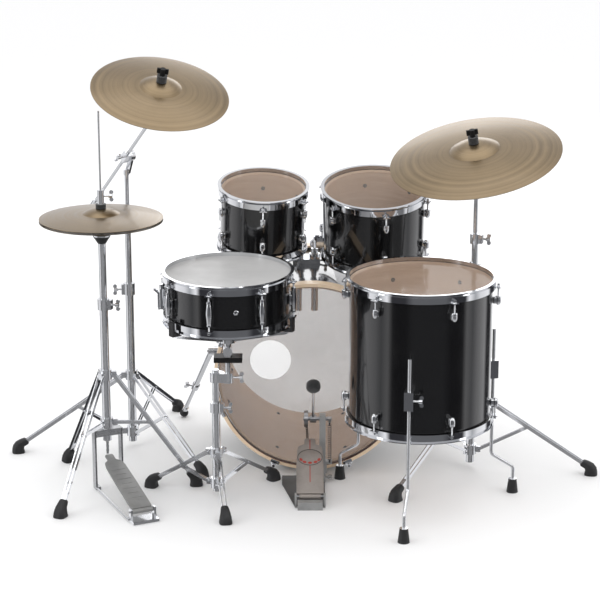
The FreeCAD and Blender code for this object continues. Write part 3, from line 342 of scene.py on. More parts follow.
def add(tree, kind, inputs=None, output=0, **settings):
    """Add a node, fill its inputs with values or links, and give back one output."""
    made = tree.nodes.new("ShaderNode" + kind)
    for key, value in settings.items():
        setattr(made, key, value)
    for key, value in (inputs or {}).items():
        if isinstance(value, bpy.types.NodeSocket):
            tree.links.new(value, made.inputs[key])
        else:
            made.inputs[key].default_value = value
    return made.outputs[output]


def place_of(tree):
    return add(tree, "TexCoord", output="Object")


def vector_math(tree, operation, first, second=None, output="Vector"):
    inputs = {0: first}
    if second is not None:
        inputs[1] = second
    return add(tree, "VectorMath", inputs, output=output, operation=operation)


def noise(tree, scale, detail=3.0, vector=None, roughness=0.55):
    inputs = {"Scale": scale, "Detail": detail, "Roughness": roughness, "Vector": vector or place_of(tree)}
    return add(tree, "TexNoise", inputs, output="Fac")


def rings(tree, distance, scale, detail=2.0):
    """Noise along one length only, so that it makes rings or bands."""
    wave = add(tree, "Math", {0: distance, 1: scale}, operation="MULTIPLY")
    inputs = {"W": wave, "Scale": 1.0, "Detail": detail}
    return add(tree, "TexNoise", inputs, output="Fac", noise_dimensions="1D")


def spread(tree, value, low, high, first=0.3, last=0.7):
    """A value that runs from first to last, stretched to run from low to high."""
    inputs = {"Value": value, "From Min": first, "From Max": last, "To Min": low, "To Max": high}
    return add(tree, "MapRange", inputs)


def ramp(tree, value, stops):
    """Colours along a value: stops are (position, colour)."""
    made = tree.nodes.new("ShaderNodeValToRGB")
    tree.links.new(value, made.inputs[0])
    band = made.color_ramp
    while len(band.elements) < len(stops):
        band.elements.new(0.5)
    for element, (position, colour) in zip(band.elements, stops):
        element.position = position
        element.color = (*colour, 1)
    return made.outputs[0]


def mix(tree, share, first, second, blend="MIX"):
    made = tree.nodes.new("ShaderNodeMix")
    made.data_type = "RGBA"
    made.blend_type = blend
    for key, value in ((0, share), (6, first), (7, second)):
        if isinstance(value, bpy.types.NodeSocket):
            tree.links.new(value, made.inputs[key])
        else:
            made.inputs[key].default_value = value if key == 0 else (*value, 1)
    return made.outputs[2]


def bump(tree, shader, height, strength, distance=0.0005):
    inputs = {"Height": height, "Strength": strength, "Distance": distance}
    tree.links.new(add(tree, "Bump", inputs), shader.inputs["Normal"])


def link(tree, value, shader, key):
    tree.links.new(value, shader.inputs[key])


def from_axis(tree, centre, axis):
    """Distance out from an axis, for rings."""
    offset = vector_math(tree, "SUBTRACT", place_of(tree), tuple(centre))
    across = vector_math(tree, "CROSS_PRODUCT", offset, tuple(axis))
    return vector_math(tree, "LENGTH", across, output="Value")


def grain_vector(tree, axis, round_scale, along_scale):
    """A vector that changes fast along an axis and slowly round it."""
    place = place_of(tree)
    along = vector_math(tree, "DOT_PRODUCT", place, tuple(axis), output="Value")
    slow = vector_math(tree, "MULTIPLY", place, (round_scale,) * 3)
    scaled = add(tree, "Math", {0: along, 1: along_scale}, operation="MULTIPLY")
    fast = add(tree, "CombineXYZ", {"X": scaled, "Y": scaled, "Z": scaled})
    return vector_math(tree, "ADD", slow, fast)


# ------------------------------------------------------------ materials


def shade(colour, factor):
    return [min(1, c * factor) for c in colour]


def halfway(first, second):
    return [(a + b) / 2 for a, b in zip(first, second)]


def chrome(name="chrome", tint=(0.80, 0.81, 0.83), polish=0.05):
    made, tree, shader = new_material(name, tint, metallic=1.0, roughness=polish)
    haze = noise(tree, 60, 4)
    link(tree, spread(tree, haze, polish * 0.7, polish * 1.9), shader, "Roughness")
    cloud = ramp(tree, noise(tree, 9, 3), [(0.35, shade(tint, 0.93)), (0.65, tint)])
    link(tree, cloud, shader, "Base Color")
    bump(tree, shader, noise(tree, 900, 2), 0.05, 0.0002)
    return made


def tube_chrome():
    """Thin polished tubes: bright along the side that faces you, dark along their edges."""
    made = chrome("tube_chrome", (0.84, 0.85, 0.87), 0.07)
    tree = made.node_tree
    edge = add(tree, "LayerWeight", {"Blend": 0.5}, output="Facing")
    link(tree, spread(tree, edge, 0.80, 1.0, 0.08, 0.35), tree.nodes["Principled BSDF"], "Metallic")
    return made


def brushed(name, colour, roughness=0.34):
    made, tree, shader = new_material(name, colour, metallic=1.0, roughness=roughness)
    grain = noise(tree, 1.0, 3, grain_vector(tree, UP, 60, 900))
    link(tree, spread(tree, grain, roughness * 0.8, roughness * 1.25), shader, "Roughness")
    cloud = ramp(tree, noise(tree, 25, 4), [(0.3, shade(colour, 0.86)), (0.7, colour)])
    link(tree, cloud, shader, "Base Color")
    bump(tree, shader, grain, 0.12, 0.0002)
    return made


def lacquer():
    made, tree, shader = new_material(
        "black_lacquer",
        (0.004, 0.004, 0.0045),
        roughness=0.22,
        Specular_IOR_Level=0.4,
        Coat_Weight=1.0,
        Coat_Roughness=0.03,
        Coat_IOR=1.5,
    )
    dust = noise(tree, 700, 2)
    base = ramp(tree, dust, [(0.62, (0.0035, 0.0035, 0.004)), (0.78, (0.009, 0.009, 0.010))])
    link(tree, base, shader, "Base Color")
    link(tree, spread(tree, noise(tree, 14, 4), 0.17, 0.27), shader, "Roughness")
    bump(tree, shader, noise(tree, 55, 1), 0.06, 0.0004)
    return made


def wood(name, axis, light, dark, roughness=0.45, coat=0.15):
    """Rotary-cut ply whose figure runs round the drum."""
    made, tree, shader = new_material(name, light, roughness=roughness, Coat_Weight=coat, Coat_Roughness=0.2)
    figure = noise(tree, 1.0, 5, grain_vector(tree, axis, 5, 46), 0.62)
    fine = noise(tree, 1.0, 3, grain_vector(tree, axis, 40, 900))
    patch = noise(tree, 4.5, 2)
    body = ramp(tree, figure, [(0.32, dark), (0.5, halfway(light, dark)), (0.68, light)])
    cloudy = mix(tree, 0.35, body, ramp(tree, patch, [(0.35, dark), (0.65, light)]))
    fibres = ramp(tree, fine, [(0.3, (0.80, 0.78, 0.75)), (0.6, (1, 1, 1))])
    link(tree, mix(tree, 0.5, cloudy, fibres, "MULTIPLY"), shader, "Base Color")
    link(tree, spread(tree, fine, roughness * 0.85, roughness * 1.2), shader, "Roughness")
    bump(tree, shader, fine, 0.15, 0.0003)
    return made


def hoop_wood():
    """Light maple hoops with a dark ring painted near the head: painted shadow of the gap between the hoop
    and the head.
    """
    light, dark = (0.95, 0.76, 0.56), (0.84, 0.63, 0.43)
    made = wood("maple_hoop", BASS.axis, light, dark, 0.35, 0.3)
    tree = made.node_tree
    shader = tree.nodes["Principled BSDF"]
    out = from_axis(tree, BASS.top, BASS.axis)
    # Painted shadow: the hoop's inner edge next to the head is painted near black, where the gap between
    # hoop and head lies in shade.
    shadow_ring_edge = BASS.radius + 1.8 * MM
    gap_shadow_ring = add(tree, "Math", {0: out, 1: shadow_ring_edge}, operation="LESS_THAN")
    body = shader.inputs["Base Color"].links[0].from_socket
    link(tree, mix(tree, gap_shadow_ring, body, (0.085, 0.030, 0.018)), shader, "Base Color")
    return made


def film(name, colour, alpha, roughness, scale=500):
    """A polyester drumhead: a thin film with a slightly uneven haze."""
    made, tree, shader = new_material(name, colour, roughness=roughness, Alpha=alpha, Specular_IOR_Level=0.5)
    haze = noise(tree, 6, 3)
    link(tree, spread(tree, haze, alpha * 0.9, min(1.0, alpha * 1.12)), shader, "Alpha")
    link(tree, spread(tree, noise(tree, 30, 3), roughness * 0.85, roughness * 1.2), shader, "Roughness")
    link(tree, ramp(tree, haze, [(0.3, shade(colour, 0.95)), (0.7, colour)]), shader, "Base Color")
    bump(tree, shader, noise(tree, scale, 2), 0.04, 0.0002)
    return made


def bronze(name, centre, axis):
    """Lathe-turned cymbal bronze: fine grooves, broad tonal rings and a little patina."""
    light, dark = (0.335, 0.250, 0.148), (0.215, 0.157, 0.090)
    made, tree, shader = new_material(
        name,
        light,
        metallic=1.0,
        roughness=0.34,
        Coat_Weight=0.4,
        Coat_Roughness=0.14,
        Coat_IOR=1.5,
    )
    out = from_axis(tree, centre, axis)
    grooves = rings(tree, out, 1100, 3)
    bands = rings(tree, out, 75, 3)
    patina = noise(tree, 7, 4)
    tone = ramp(tree, bands, [(0.3, dark), (0.5, halfway(light, dark)), (0.72, light)])
    tone = mix(tree, 0.4, tone, ramp(tree, patina, [(0.3, dark), (0.7, light)]))
    lines = ramp(tree, grooves, [(0.3, (0.72, 0.70, 0.66)), (0.6, (1, 1, 1))])
    link(tree, mix(tree, 0.7, tone, lines, "MULTIPLY"), shader, "Base Color")
    link(tree, spread(tree, bands, 0.30, 0.42), shader, "Roughness")
    bump(tree, shader, grooves, 0.35, 0.0003)
    return made


def soft_black(name, colour, roughness, scale, strength, **sockets):
    """Rubber, plastic or felt: a dark material with its own surface grain."""
    made, tree, shader = new_material(name, colour, roughness=roughness, **sockets)
    grain = noise(tree, scale, 5)
    cloud = ramp(tree, noise(tree, scale / 8, 4), [(0.3, shade(colour, 0.6)), (0.7, shade(colour, 1.35))])
    link(tree, cloud, shader, "Base Color")
    link(tree, spread(tree, grain, roughness * 0.85, min(1.0, roughness * 1.15)), shader, "Roughness")
    bump(tree, shader, grain, strength, 0.0006)
    return made


def cast(name, colour):
    """Sand-cast aluminium with a satin paint that is worn a little brighter in places."""
    made, tree, shader = new_material(name, colour, metallic=0.55, roughness=0.42)
    wear = noise(tree, 22, 5, roughness=0.7)
    pits = noise(tree, 420, 3)
    worn = ramp(tree, wear, [(0.35, shade(colour, 0.82)), (0.62, colour), (0.75, shade(colour, 1.2))])
    link(tree, worn, shader, "Base Color")
    link(tree, spread(tree, wear, 0.34, 0.52), shader, "Roughness")
    bump(tree, shader, pits, 0.22, 0.0004)
    return made


def enamel(name, colour):
    made, tree, shader = new_material(name, colour, roughness=0.4)
    speck = noise(tree, 350, 3)
    link(tree, ramp(tree, speck, [(0.3, shade(colour, 0.8)), (0.7, colour)]), shader, "Base Color")
    link(tree, spread(tree, speck, 0.33, 0.5), shader, "Roughness")
    return made


CHROME = chrome()
TUBE_CHROME = tube_chrome()
STEEL = brushed("spring_steel", (0.42, 0.42, 0.43))
SATIN = brushed("satin_chrome", (0.60, 0.61, 0.62), 0.30)
DARK_STEEL = brushed("dark_steel", (0.13, 0.13, 0.135), 0.4)
BLACK_STEEL = brushed("black_steel", (0.035, 0.035, 0.037), 0.42)
LACQUER = lacquer()
RUBBER = soft_black("rubber", (0.018, 0.018, 0.019), 0.55, 260, 0.25)
NYLON = soft_black("black_nylon", (0.009, 0.009, 0.0095), 0.42, 500, 0.12, Specular_IOR_Level=0.3)
FELT = soft_black(
    "black_felt", (0.020, 0.020, 0.021), 0.95, 1400, 0.8, Sheen_Weight=0.35, Sheen_Roughness=0.5
)
CLEAR_HEAD = film("clear_head", (0.50, 0.43, 0.38), 0.16, 0.10)
BATTER_FILM = film("clear_bass_head", (0.42, 0.41, 0.41), 0.17, 0.09)
COATED_HEAD = film("coated_head", (0.50, 0.497, 0.495), 1.0, 0.42, 1500)
WHITE_HEAD = film("white_head", (0.78, 0.79, 0.80), 0.36, 0.28)
MAPLE = hoop_wood()
GREY_CAST = cast("grey_cast", (0.31, 0.31, 0.305))
PALE_CAST = cast("pale_cast", (0.46, 0.46, 0.455))
DARK_CAST = cast("dark_cast", (0.10, 0.10, 0.10))
WARM_CAST = cast("warm_cast", (0.345, 0.31, 0.285))
RED = enamel("red_enamel", (0.42, 0.045, 0.03))
INK = enamel("dark_line", (0.045, 0.04, 0.04))

# ------------------------------------------------------------ CAD nodes that stay


def finish_node(node, *finishes, choose=None):
    """Give a CAD node its materials. choose picks one by its number for each polygon."""
    mesh = NODES[node].data
    mesh.materials.clear()
    for finish in finishes:
        mesh.materials.append(finish)
    if choose:
        for polygon in mesh.polygons:
            polygon.material_index = choose(polygon)


def finish_shell(drum, wood_finish):
    """Lacquer outside, bare ply on the inner wall and the bearing edges, chrome on what is bolted to it."""
    skin = drum.radius - 1.0 * MM
    bracket = drum.radius + 0.3 * MM

    def choose(polygon):
        place = drum.local(polygon.center)
        out = math.hypot(place.x, place.y)
        if out > bracket:
            return 2
        return 1 if out > skin else 0

    finish_node(f"{drum.name}_shell", wood_finish, LACQUER, CHROME, choose=choose)


def finish_basket():
    """The snare basket's small solids are rubber grips, the large ones are chrome arms."""
    longest_grip = 90 * MM
    slack = 0.01 * MM
    boxes = [(points.min(0), points.max(0)) for points in solids("snare_basket")]
    boxes.sort(key=lambda box: float(np.prod(box[1] - box[0])))

    def choose(polygon):
        place = np.array(polygon.center)
        for low, high in boxes:
            if (place >= low - slack).all() and (place <= high + slack).all():
                return int(np.linalg.norm(high - low) < longest_grip)
        return 0

    finish_node("snare_basket", TUBE_CHROME, RUBBER, choose=choose)


CHROME_NODES = ["floor_tom_hoops", "tom_left_hoops", "tom_right_hoops", "snare_hoops", "tom_holder_base"]
CHROME_NODES += ["floor_tom_leg_brackets", "tom_left_arm", "tom_right_arm", "snare_strainer", "snare_lever"]
CHROME_NODES += ["crash_boom_tilter", "bass_claws"]
TUBE_NODES = ["snare_stand_tripod", "crash_stand_tripod", "ride_stand_tripod"]
TUBE_NODES += ["tom_left_post", "tom_right_post", "crash_upper_tube", "ride_upper_tube"]


def finish_frame():
    tom_ply = (0.66, 0.485, 0.345), (0.50, 0.345, 0.235)
    # The bass ply is the tom ply made lighter: painted light for the inside of the bass drum, which the
    # lamps reach less.
    bass_ply_painted_lighter = (0.80, 0.60, 0.44), (0.64, 0.45, 0.31)
    for name, drum in DRUMS.items():
        finish_shell(drum, wood(f"{name}_ply", drum.axis, *(bass_ply_painted_lighter if name == "bass" else tom_ply)))
    for node in CHROME_NODES:
        finish_node(node, CHROME)
    for node in TUBE_NODES:
        finish_node(node, TUBE_CHROME)
    finish_node("pedal_shaft", STEEL)
    finish_node("pedal_frame", PALE_CAST)
    for node in ("floor_tom_heads", "tom_left_heads", "tom_right_heads"):
        finish_node(node, CLEAR_HEAD)
    finish_node("snare_heads", COATED_HEAD)
    finish_node("bass_batter_head", BATTER_FILM)
    finish_node("bass_front_head", WHITE_HEAD)
    finish_node("bass_hoops", MAPLE)
    for number in (1, 2, 3):
        finish_tip(f"floor_tom_leg_{number}", 5.0 * MM, 26 * MM)
    for side in ("left", "right"):
        pivot = Vector(JOINTS[f"bass_spur_{side}_fold"]["pos_m"])
        finish_tip(f"bass_spur_{side}", 6.3 * MM, 15.9 * MM, pivot)
    finish_stand_cover()
    finish_basket()
    finish_hihat()


def finish_hihat():
    """Felts and cup by how far they stand out from the rod, and a satin U frame round it."""
    rod = middle(solids("hihat_bottom_cymbal")[0])
    bell = max(v.co.z for v in NODES["hihat_top_cymbal"].data.vertices)
    seat = max(v.co.z for v in NODES["hihat_upper_tube"].data.vertices)

    def out(polygon):
        return math.hypot(polygon.center.x - rod.x, polygon.center.y - rod.y)

    def felt(polygon):
        over_bell = polygon.center.z - bell
        return int(out(polygon) > 6.4 * MM and -17 * MM < over_bell < 13.3 * MM)

    def cup(polygon):
        depth = seat - polygon.center.z
        if depth < 12.1 * MM:
            return 1
        return 2 if 16.5 * MM < depth < 37 * MM and out(polygon) > 12 * MM else 0

    def u_frame(polygon):
        height = polygon.center.z
        inner = 14 * MM if height < 165 * MM else 20 * MM
        return int(9 * MM < height < 187 * MM and inner < out(polygon) < 58 * MM)

    finish_node("hihat_pull_rod", TUBE_CHROME, FELT, choose=felt)
    finish_node("hihat_upper_tube", TUBE_CHROME, FELT, NYLON, choose=cup)
    finish_node("hihat_stand_tripod", TUBE_CHROME, SATIN, choose=u_frame)


def finish_tip(node, radius, length, pivot=None):
    """Chrome rod, upright or aimed at a pivot, and rubber for what stands out from it near the floor."""
    points = np.array([v.co for v in NODES[node].data.vertices])
    low = middle(points[points[:, 2] < points[:, 2].min() + 2 * MM])
    end = low + UP * 15 * MM
    along = (pivot - end).normalized() if pivot else UP

    def choose(polygon):
        offset = polygon.center - end
        height = offset.dot(along)
        out = (offset - along * height).length
        sole = polygon.center.z < low.z + 1 * MM
        return int(sole or height < length and out > radius + 0.3 * MM)

    finish_node(node, TUBE_CHROME, RUBBER, choose=choose)


def finish_stand_cover():
    """The black cover of the snare stand's tilter is a block round the post, under the pivot."""
    pivot = Vector(JOINTS["snare_tilt"]["pos_m"])
    low = pivot + Vector((-40, -24, -31)) * MM
    high = pivot + Vector((42, 22, -16)) * MM
    slack = 0.05 * MM

    def choose(polygon):
        place = polygon.center
        depths = [min(place[i] - low[i], high[i] - place[i]) for i in range(3)]
        return int(-slack < min(depths) < slack)

    finish_node("snare_stand_post", TUBE_CHROME, NYLON, choose=choose)


def disc(node):
    """Centre and axis of a cymbal, from the spread of its points."""
    points = solids(node)[0]
    centre = points.mean(0)
    axis = Vector(np.linalg.eigh(np.cov((points - centre).T))[1][:, 0])
    return Vector(centre), axis if axis.z > 0 else -axis


def finish_cymbals():
    for node in ("crash_cymbal", "ride_cymbal", "hihat_top_cymbal", "hihat_bottom_cymbal"):
        centre, axis = disc(node)
        finish_node(node, bronze(f"{node}_bronze", centre, axis))
    for node, cymbal in (("crash_boom_arm", "crash_cymbal"), ("ride_tilter", "ride_cymbal")):
        centre, axis = disc(cymbal)
        top = max((p.co - centre).dot(axis) for p in NODES[cymbal].data.vertices)

        def choose(polygon, centre=centre, axis=axis, top=top):
            """The rod, then the felts round it, then the wing nut above them."""
            offset = polygon.center - centre
            height = offset.dot(axis)
            out = (offset - axis * height).length
            if out > 30 * MM or height < top - 26 * MM:
                return 0
            if height > top + 22.1 * MM:
                return 2
            return int(out > 4.5 * MM)

        finish_node(node, TUBE_CHROME, FELT, NYLON, choose=choose)


# ------------------------------------------------------------ drum hardware


def key_rod(seat, low, radius=2.7):
    """Threaded tension rod with a washer and a square key head, Z along it, in millimetres."""
    thread = []
    height = low
    while height < seat - 1.0:
        thread += [(radius, height), (radius - 0.35, height + 0.6)]
        height += 1.2
    rod = lathe([(0, low), *thread, (radius, seat), (0, seat)], 12)
    rim = [(0, 0), (6.2, 0), (6.6, 0.5), (6.2, 1.4), (4.2, 1.6), (4.0, 3.4), (0, 3.4)]
    washer = lathe([(r, seat + z) for r, z in rim], 20)
    head = block((-3.1, -3.1, seat + 3), (3.1, 3.1, seat + 9.6), 0.7)
    return [rod, washer, head]


def bullet(top, length, width=8.6):
    """A bullet-shaped lug body hanging down from its collar, in millimetres."""
    low = top - length
    profile = [(0, low), (width * 0.3, low + 0.3), (width * 0.58, low + length * 0.07)]
    profile += [(width * 0.82, low + length * 0.2), (width * 0.95, low + length * 0.34)]
    profile += [(width, low + length * 0.48)]
    profile += [(width, top - 9.0), (width - 1.0, top - 8.2), (width - 1.0, top - 7.0), (width, top - 6.2)]
    profile += [(width, top - 2.2), (width - 1.0, top - 0.6), (width - 2.6, top), (0, top)]
    return lathe(profile, 28)


def lug_foot(top, inset):
    """The rounded foot between a lug and the shell, X pointing outwards."""
    return block((-inset, -8.2, top - 23), (-2.0, 8.2, top - 3), 3.2, 3)


def tom_lugs(name, node):
    drum = DRUMS[name]
    rod_end = -LUG_DROP - 6
    body = [bullet(-LUG_DROP, LUG_LENGTH), lug_foot(-LUG_DROP, ROD_OFFSET - SEAT_GAP)]
    single = joined(body + key_rod(-WASHER_DROP, rod_end))
    parts = []
    for points in solids(node):
        place = middle(points)
        lower = drum.local(place).z < -drum.depth / 2
        height = -drum.depth if lower else 0
        spot = drum.station(drum.angle(place), drum.radius + ROD_OFFSET * MM, height, lower)
        parts.append(moved(single, spot))
    piece(f"{name}_lug_set", joined(parts), NODES[node]["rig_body"], CHROME, [node])


def snare_tube_lugs():
    """Slim double-ended lugs, waisted near their ends, with a tension rod from above and one from below."""
    drum = DRUMS["snare"]
    half = drum.depth / MM / 2
    reach = half - 27
    side = [(5.2, 0), (6.9, -1.2), (6.9, -6), (5.9, -7.2), (6.6, -10)]
    upper = [(0, reach)] + [(r, reach + z) for r, z in side] + [(8.6, 8)]
    lower = [(r, -z) for r, z in upper]
    tube_lug = lathe(lower + [(9.3, 0)] + upper[::-1], 28)
    foot = block((SEAT_GAP - ROD_OFFSET, -7.6, -15), (-2, 7.6, 15), 3.2, 3)
    rod = joined(key_rod(half - WASHER_DROP, 4))
    flip = Matrix.Rotation(math.pi, 4, "X")
    single = joined([tube_lug, foot, rod, moved(rod, flip)])
    parts = []
    for points in solids("snare_lugs"):
        angle = drum.angle(middle(points))
        parts.append(moved(single, drum.station(angle, drum.radius + ROD_OFFSET * MM, -drum.depth / 2)))
    piece("snare_tube_lugs", joined(parts), "snare", CHROME, ["snare_lugs"])


def bass_hardware():
    """Single lugs, T rods with wing ends and the claw hooks that hold the wooden hoops."""
    offset = BASS_ROD_OFFSET
    rim = BASS_HOOP_RADIUS - BASS.radius / MM - offset
    face = BASS_HOOP_FACE
    foot = block((SEAT_GAP - offset, -9, -88), (-2, 9, -54), 4, 3)
    lug = joined([bullet(-BASS_LUG_DROP, BASS_LUG_LENGTH, 9.6), foot])
    stem = lathe([(0, -60), (3.1, -60), (3.1, 14), (5.2, 14.4), (5.2, 20.4), (4.2, 22), (0, 22)], 16)
    hook = [(rim - 9, face + 3.4), (rim - 9, face), (rim + 0.4, face), (rim + 0.4, -20), (rim + 3.6, -20)]
    hook += [(rim + 3.6, face - 1.5), (rim + 1.2, face + 3.4)]
    upright = Matrix(((1, 0, 0, 0), (0, 0, 1, 0), (0, 1, 0, 0), (0, 0, 0, 1)))
    plate = moved(prism(hook, -14, 14, 0.9), upright)
    boss = lathe([(3.6, -12), (6.2, -12), (7.2, -10), (7.2, 8), (6, 11), (3.6, 11)], 24, closed=True)
    lugs = []
    claws = []
    for points in solids("bass_lugs"):
        place = middle(points)
        far = BASS.local(place).z < -BASS.depth / 2
        spot = BASS.station(BASS.angle(place), BASS.radius + offset * MM, -BASS.depth if far else 0, far)
        lugs.append(moved(joined([lug, stem]), spot))
        claws.append(moved(joined([plate, boss]), spot))
    piece("bass_lug_set", joined(lugs), "kit", CHROME, ["bass_lugs"])
    piece("bass_claw_set", joined(claws), "kit", CHROME, ["bass_claws"])


def inner_screws():
    """Screw heads and washers of every lug on the inner wall of its shell."""
    screw = lathe([(0, 0), (6.4, 0), (6.4, 1.0), (3.6, 1.2), (3.4, 3.6), (2.2, 4.2), (0, 4.2)], 18)
    inward = Matrix(((0, 0, -1, 0), (0, 1, 0, 0), (1, 0, 0, 0), (0, 0, 0, 1)))
    for name, drop in SCREW_DROPS.items():
        drum = DRUMS[name]
        parts = []
        for points in solids(f"{name}_lugs"):
            place = middle(points)
            lower = drum.local(place).z < -drum.depth / 2
            height = drop * MM - drum.depth if lower else -drop * MM
            spot = drum.station(drum.angle(place), drum.radius - INNER_WALL * MM, height)
            parts.append(moved(screw, spot @ inward))
        body = NODES[f"{name}_shell"]["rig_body"]
        piece(f"{name}_screws", joined(parts), body, DARK_STEEL)


def vent(name, degrees, share=0.5):
    """A chrome grommet round the vent hole of a shell, with a dark disc in it as painted shade of the hole.
    """
    drum = DRUMS[name]
    body = NODES[f"{name}_shell"]["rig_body"]
    spot = drum.station(math.radians(degrees), drum.radius - 0.3 * MM, -drum.depth * share)
    outward = Matrix(((0, 0, 1, 0), (0, 1, 0, 0), (-1, 0, 0, 0), (0, 0, 0, 1)))
    ring = lathe([(3.0, 0), (7.0, 0), (7.0, 0.9), (5.6, 1.9), (3.8, 1.9), (3.0, 1.0)], 24, closed=True)
    # Painted shade: a thin dark disc stands in for the hole, which looks dark inside.
    hole_shade_disc = lathe([(0, 0), (3.1, 0), (3.1, 0.5), (0, 0.5)], 16)
    piece(f"{name}_vent", moved(ring, spot @ outward), body, CHROME)
    piece(f"{name}_vent_bore", moved(hole_shade_disc, spot @ outward), body, DARK_STEEL)


def snare_wire_set():
    """Twenty coiled wires between two end plates under the lower head."""
    drum = DRUMS["snare"]
    points = solids("snare_wires")[0]
    centre = middle(points)
    flat = points - np.array(centre)
    along = Vector(np.linalg.eigh(np.cov(flat.T))[1][:, 2])
    spot = frame_at(centre, along, drum.axis.cross(along), drum.axis)
    parts = []
    count = 20
    pitch = 2.0
    length = 292
    coil_radius = 0.55
    quarter_turns = 110 * 4
    for i in range(count):
        y = (i - (count - 1) / 2) * pitch
        route = []
        for k in range(quarter_turns):
            turn = math.pi / 2 * k
            x = length * (k / (quarter_turns - 1) - 0.5)
            around = Vector((0, coil_radius * math.cos(turn), coil_radius * math.sin(turn)))
            route.append((Vector((x, y, 0.1)) + around) * MM)
        parts.append(sweep(route, 0.2 * MM, 4))
    for low, high in ((-166, -144), (144, 166)):
        parts.append(block((low, -21.8, -1.0), (high, 21.8, 1.0), 0.4))
    piece("snare_wire_set", moved(joined(parts), spot), "snare", STEEL, ["snare_wires"])


# ------------------------------------------------------------ feet, pedals and small parts


def rubber_foot(slope):
    """A boot with a flat sole on a leg that rises by slope towards the tube, X pointing away from it."""
    widths = [(0, 19.6), (1.5, 21.0), (4, 20.8), (9, 20.0), (18, 18.4)]
    widths += [(28, 16.0), (37, 14.0), (44, 12.6), (48, 11.0), (50, 8.0)]
    leg = Vector((-math.cos(slope), 0, math.sin(slope)))
    leg_end = Vector((-8, 0, 26))
    boxiness = 3.2
    steps = 32
    points = []
    faces = []
    for height, half in widths:
        share = min(1.0, height / 40) ** 1.5
        centre = Vector((0, 0, height)).lerp(leg_end + leg * (height - leg_end.z), share)
        up = UP.lerp(leg, share * 0.85).normalized()
        side = Vector((up.z, 0, -up.x))
        for i in range(steps):
            turn = 2 * math.pi * i / steps
            boxy = (abs(math.cos(turn)) ** boxiness + abs(math.sin(turn)) ** boxiness) ** (-1 / boxiness)
            rib = 0.6 if 4 < height < 42 and i % 4 == 0 else 0
            out = (half - rib) * boxy
            place = centre + side * out * math.cos(turn) * 0.94 + Vector((0, out * math.sin(turn) * 0.9, 0))
            points.append(place * MM)
    for level in range(len(widths) - 1):
        for i in range(steps):
            j = (i + 1) % steps
            low = level * steps
            faces.append((low + i, low + j, low + steps + j, low + steps + i))
    faces.append(tuple(reversed(range(steps))))
    faces.append(tuple(range((len(widths) - 1) * steps, len(widths) * steps)))
    return points, faces


def tripod_feet():
    """A boot on every leg end. The slope of each leg is read from its own solid."""
    legs = []
    for stand in ("snare", "hihat", "crash", "ride"):
        for points in solids(f"{stand}_stand_tripod"):
            end = middle(points[points[:, 2] < points[:, 2].min() + 6 * MM])
            top = middle(points[points[:, 2] > points[:, 2].max() - 6 * MM])
            legs.append((end, top - end))
    parts = []
    for points in solids("tripod_feet"):
        place = middle(points)
        place.z = 0
        end, rise = min(legs, key=lambda leg: (leg[0] - place).length)
        out = Vector((-rise.x, -rise.y, 0)).normalized()
        spot = frame_at(place, out, UP.cross(out), UP)
        slope = math.atan2(rise.z, math.hypot(rise.x, rise.y))
        parts.append(moved(rubber_foot(slope), spot))
    piece("rubber_tripod_feet", joined(parts), "kit", RUBBER, ["tripod_feet"])


def chain_links(start, end, across, pitch=6.35):
    """A roller chain drawn tight between two points in metres."""
    along = end - start
    count = max(2, round(along.length / (pitch * MM)))
    step = along.length / MM / count
    edge_on = Matrix(((0, 0, 1, 0), (1, 0, 0, 0), (0, 1, 0, 0), (0, 0, 0, 1)))
    roller = moved(lathe([(0, -3.5), (1.9, -3.5), (1.9, 3.5), (0, 3.5)], 10), LIE_ALONG_X)
    parts = []
    for i in range(count):
        z = i * step
        out = 3.1 if i % 2 else 2.2
        outline = arc((0, z + 0.2), 2.5, 180, 360, 6) + arc((0, z + step - 0.2), 2.5, 0, 180, 6)
        for x in (-out, out):
            parts.append(moved(prism(outline, x - 0.45, x + 0.45, 0.15, 1), edge_on))
        parts.append(moved(roller, Matrix.Translation(Vector((0, 0, z)) * MM)))
    return moved(joined(parts), facing(start, along, across))


def board_plate(length, width, waist, toe):
    """The plate of a pedal board along +Y from its heel, narrower at its waist and again at its toe."""
    half = width / 2
    right = [(half * 0.94, 6), (half, 14), (half, length * 0.50), (waist / 2, length * 0.78)]
    right += [(waist / 2 - 4, length * 0.86), (toe / 2, length * 0.9)]
    right += [(toe / 2, length - 4), (toe / 2 - 3, length)]
    return prism(right + [(-x, y) for x, y in reversed(right)], 0.5, 7.5, 1.6, 3)


def board_hinge():
    """The knuckle and the pin of a pedal board, both along X."""
    knuckle = lathe([(0, -31), (6.6, -31), (7, -30.4), (7, 30.4), (6.6, 31), (0, 31)], 24)
    pin = lathe([(0, -41), (2.8, -41), (2.8, 41), (0, 41)], 14)
    return moved(knuckle, LIE_ALONG_X), moved(pin, LIE_ALONG_X)


def board_marks(length, centre):
    """Five red ovals on an arc inside the panel, and a red line down the middle of the rest of the board."""
    marks = []
    dot = lathe([(0, 0), (4.2, 0), (4.2, 0.4), (3.9, 0.6), (0, 0.6)], 24)
    dot = moved(dot, Matrix.Diagonal((1.45, 1, 1, 1)))
    wide, high = 28, 18
    for degrees in (200, 235, 270, 305, 340):
        turn = math.radians(degrees)
        place = Vector((wide * math.cos(turn), centre - 3 + high * math.sin(turn), 7.9)) * MM
        tilt = Matrix.Rotation(math.atan2(high * math.cos(turn), -wide * math.sin(turn)), 4, "Z")
        marks.append(moved(dot, Matrix.Translation(place) @ tilt))
    for low, top in ((length * 0.22, centre - 30.5), (centre + 30.5, length - 6)):
        marks.append(block((-1.3, low, 7.2), (1.3, top, 7.9), 0.24, 2))
    return joined(marks)


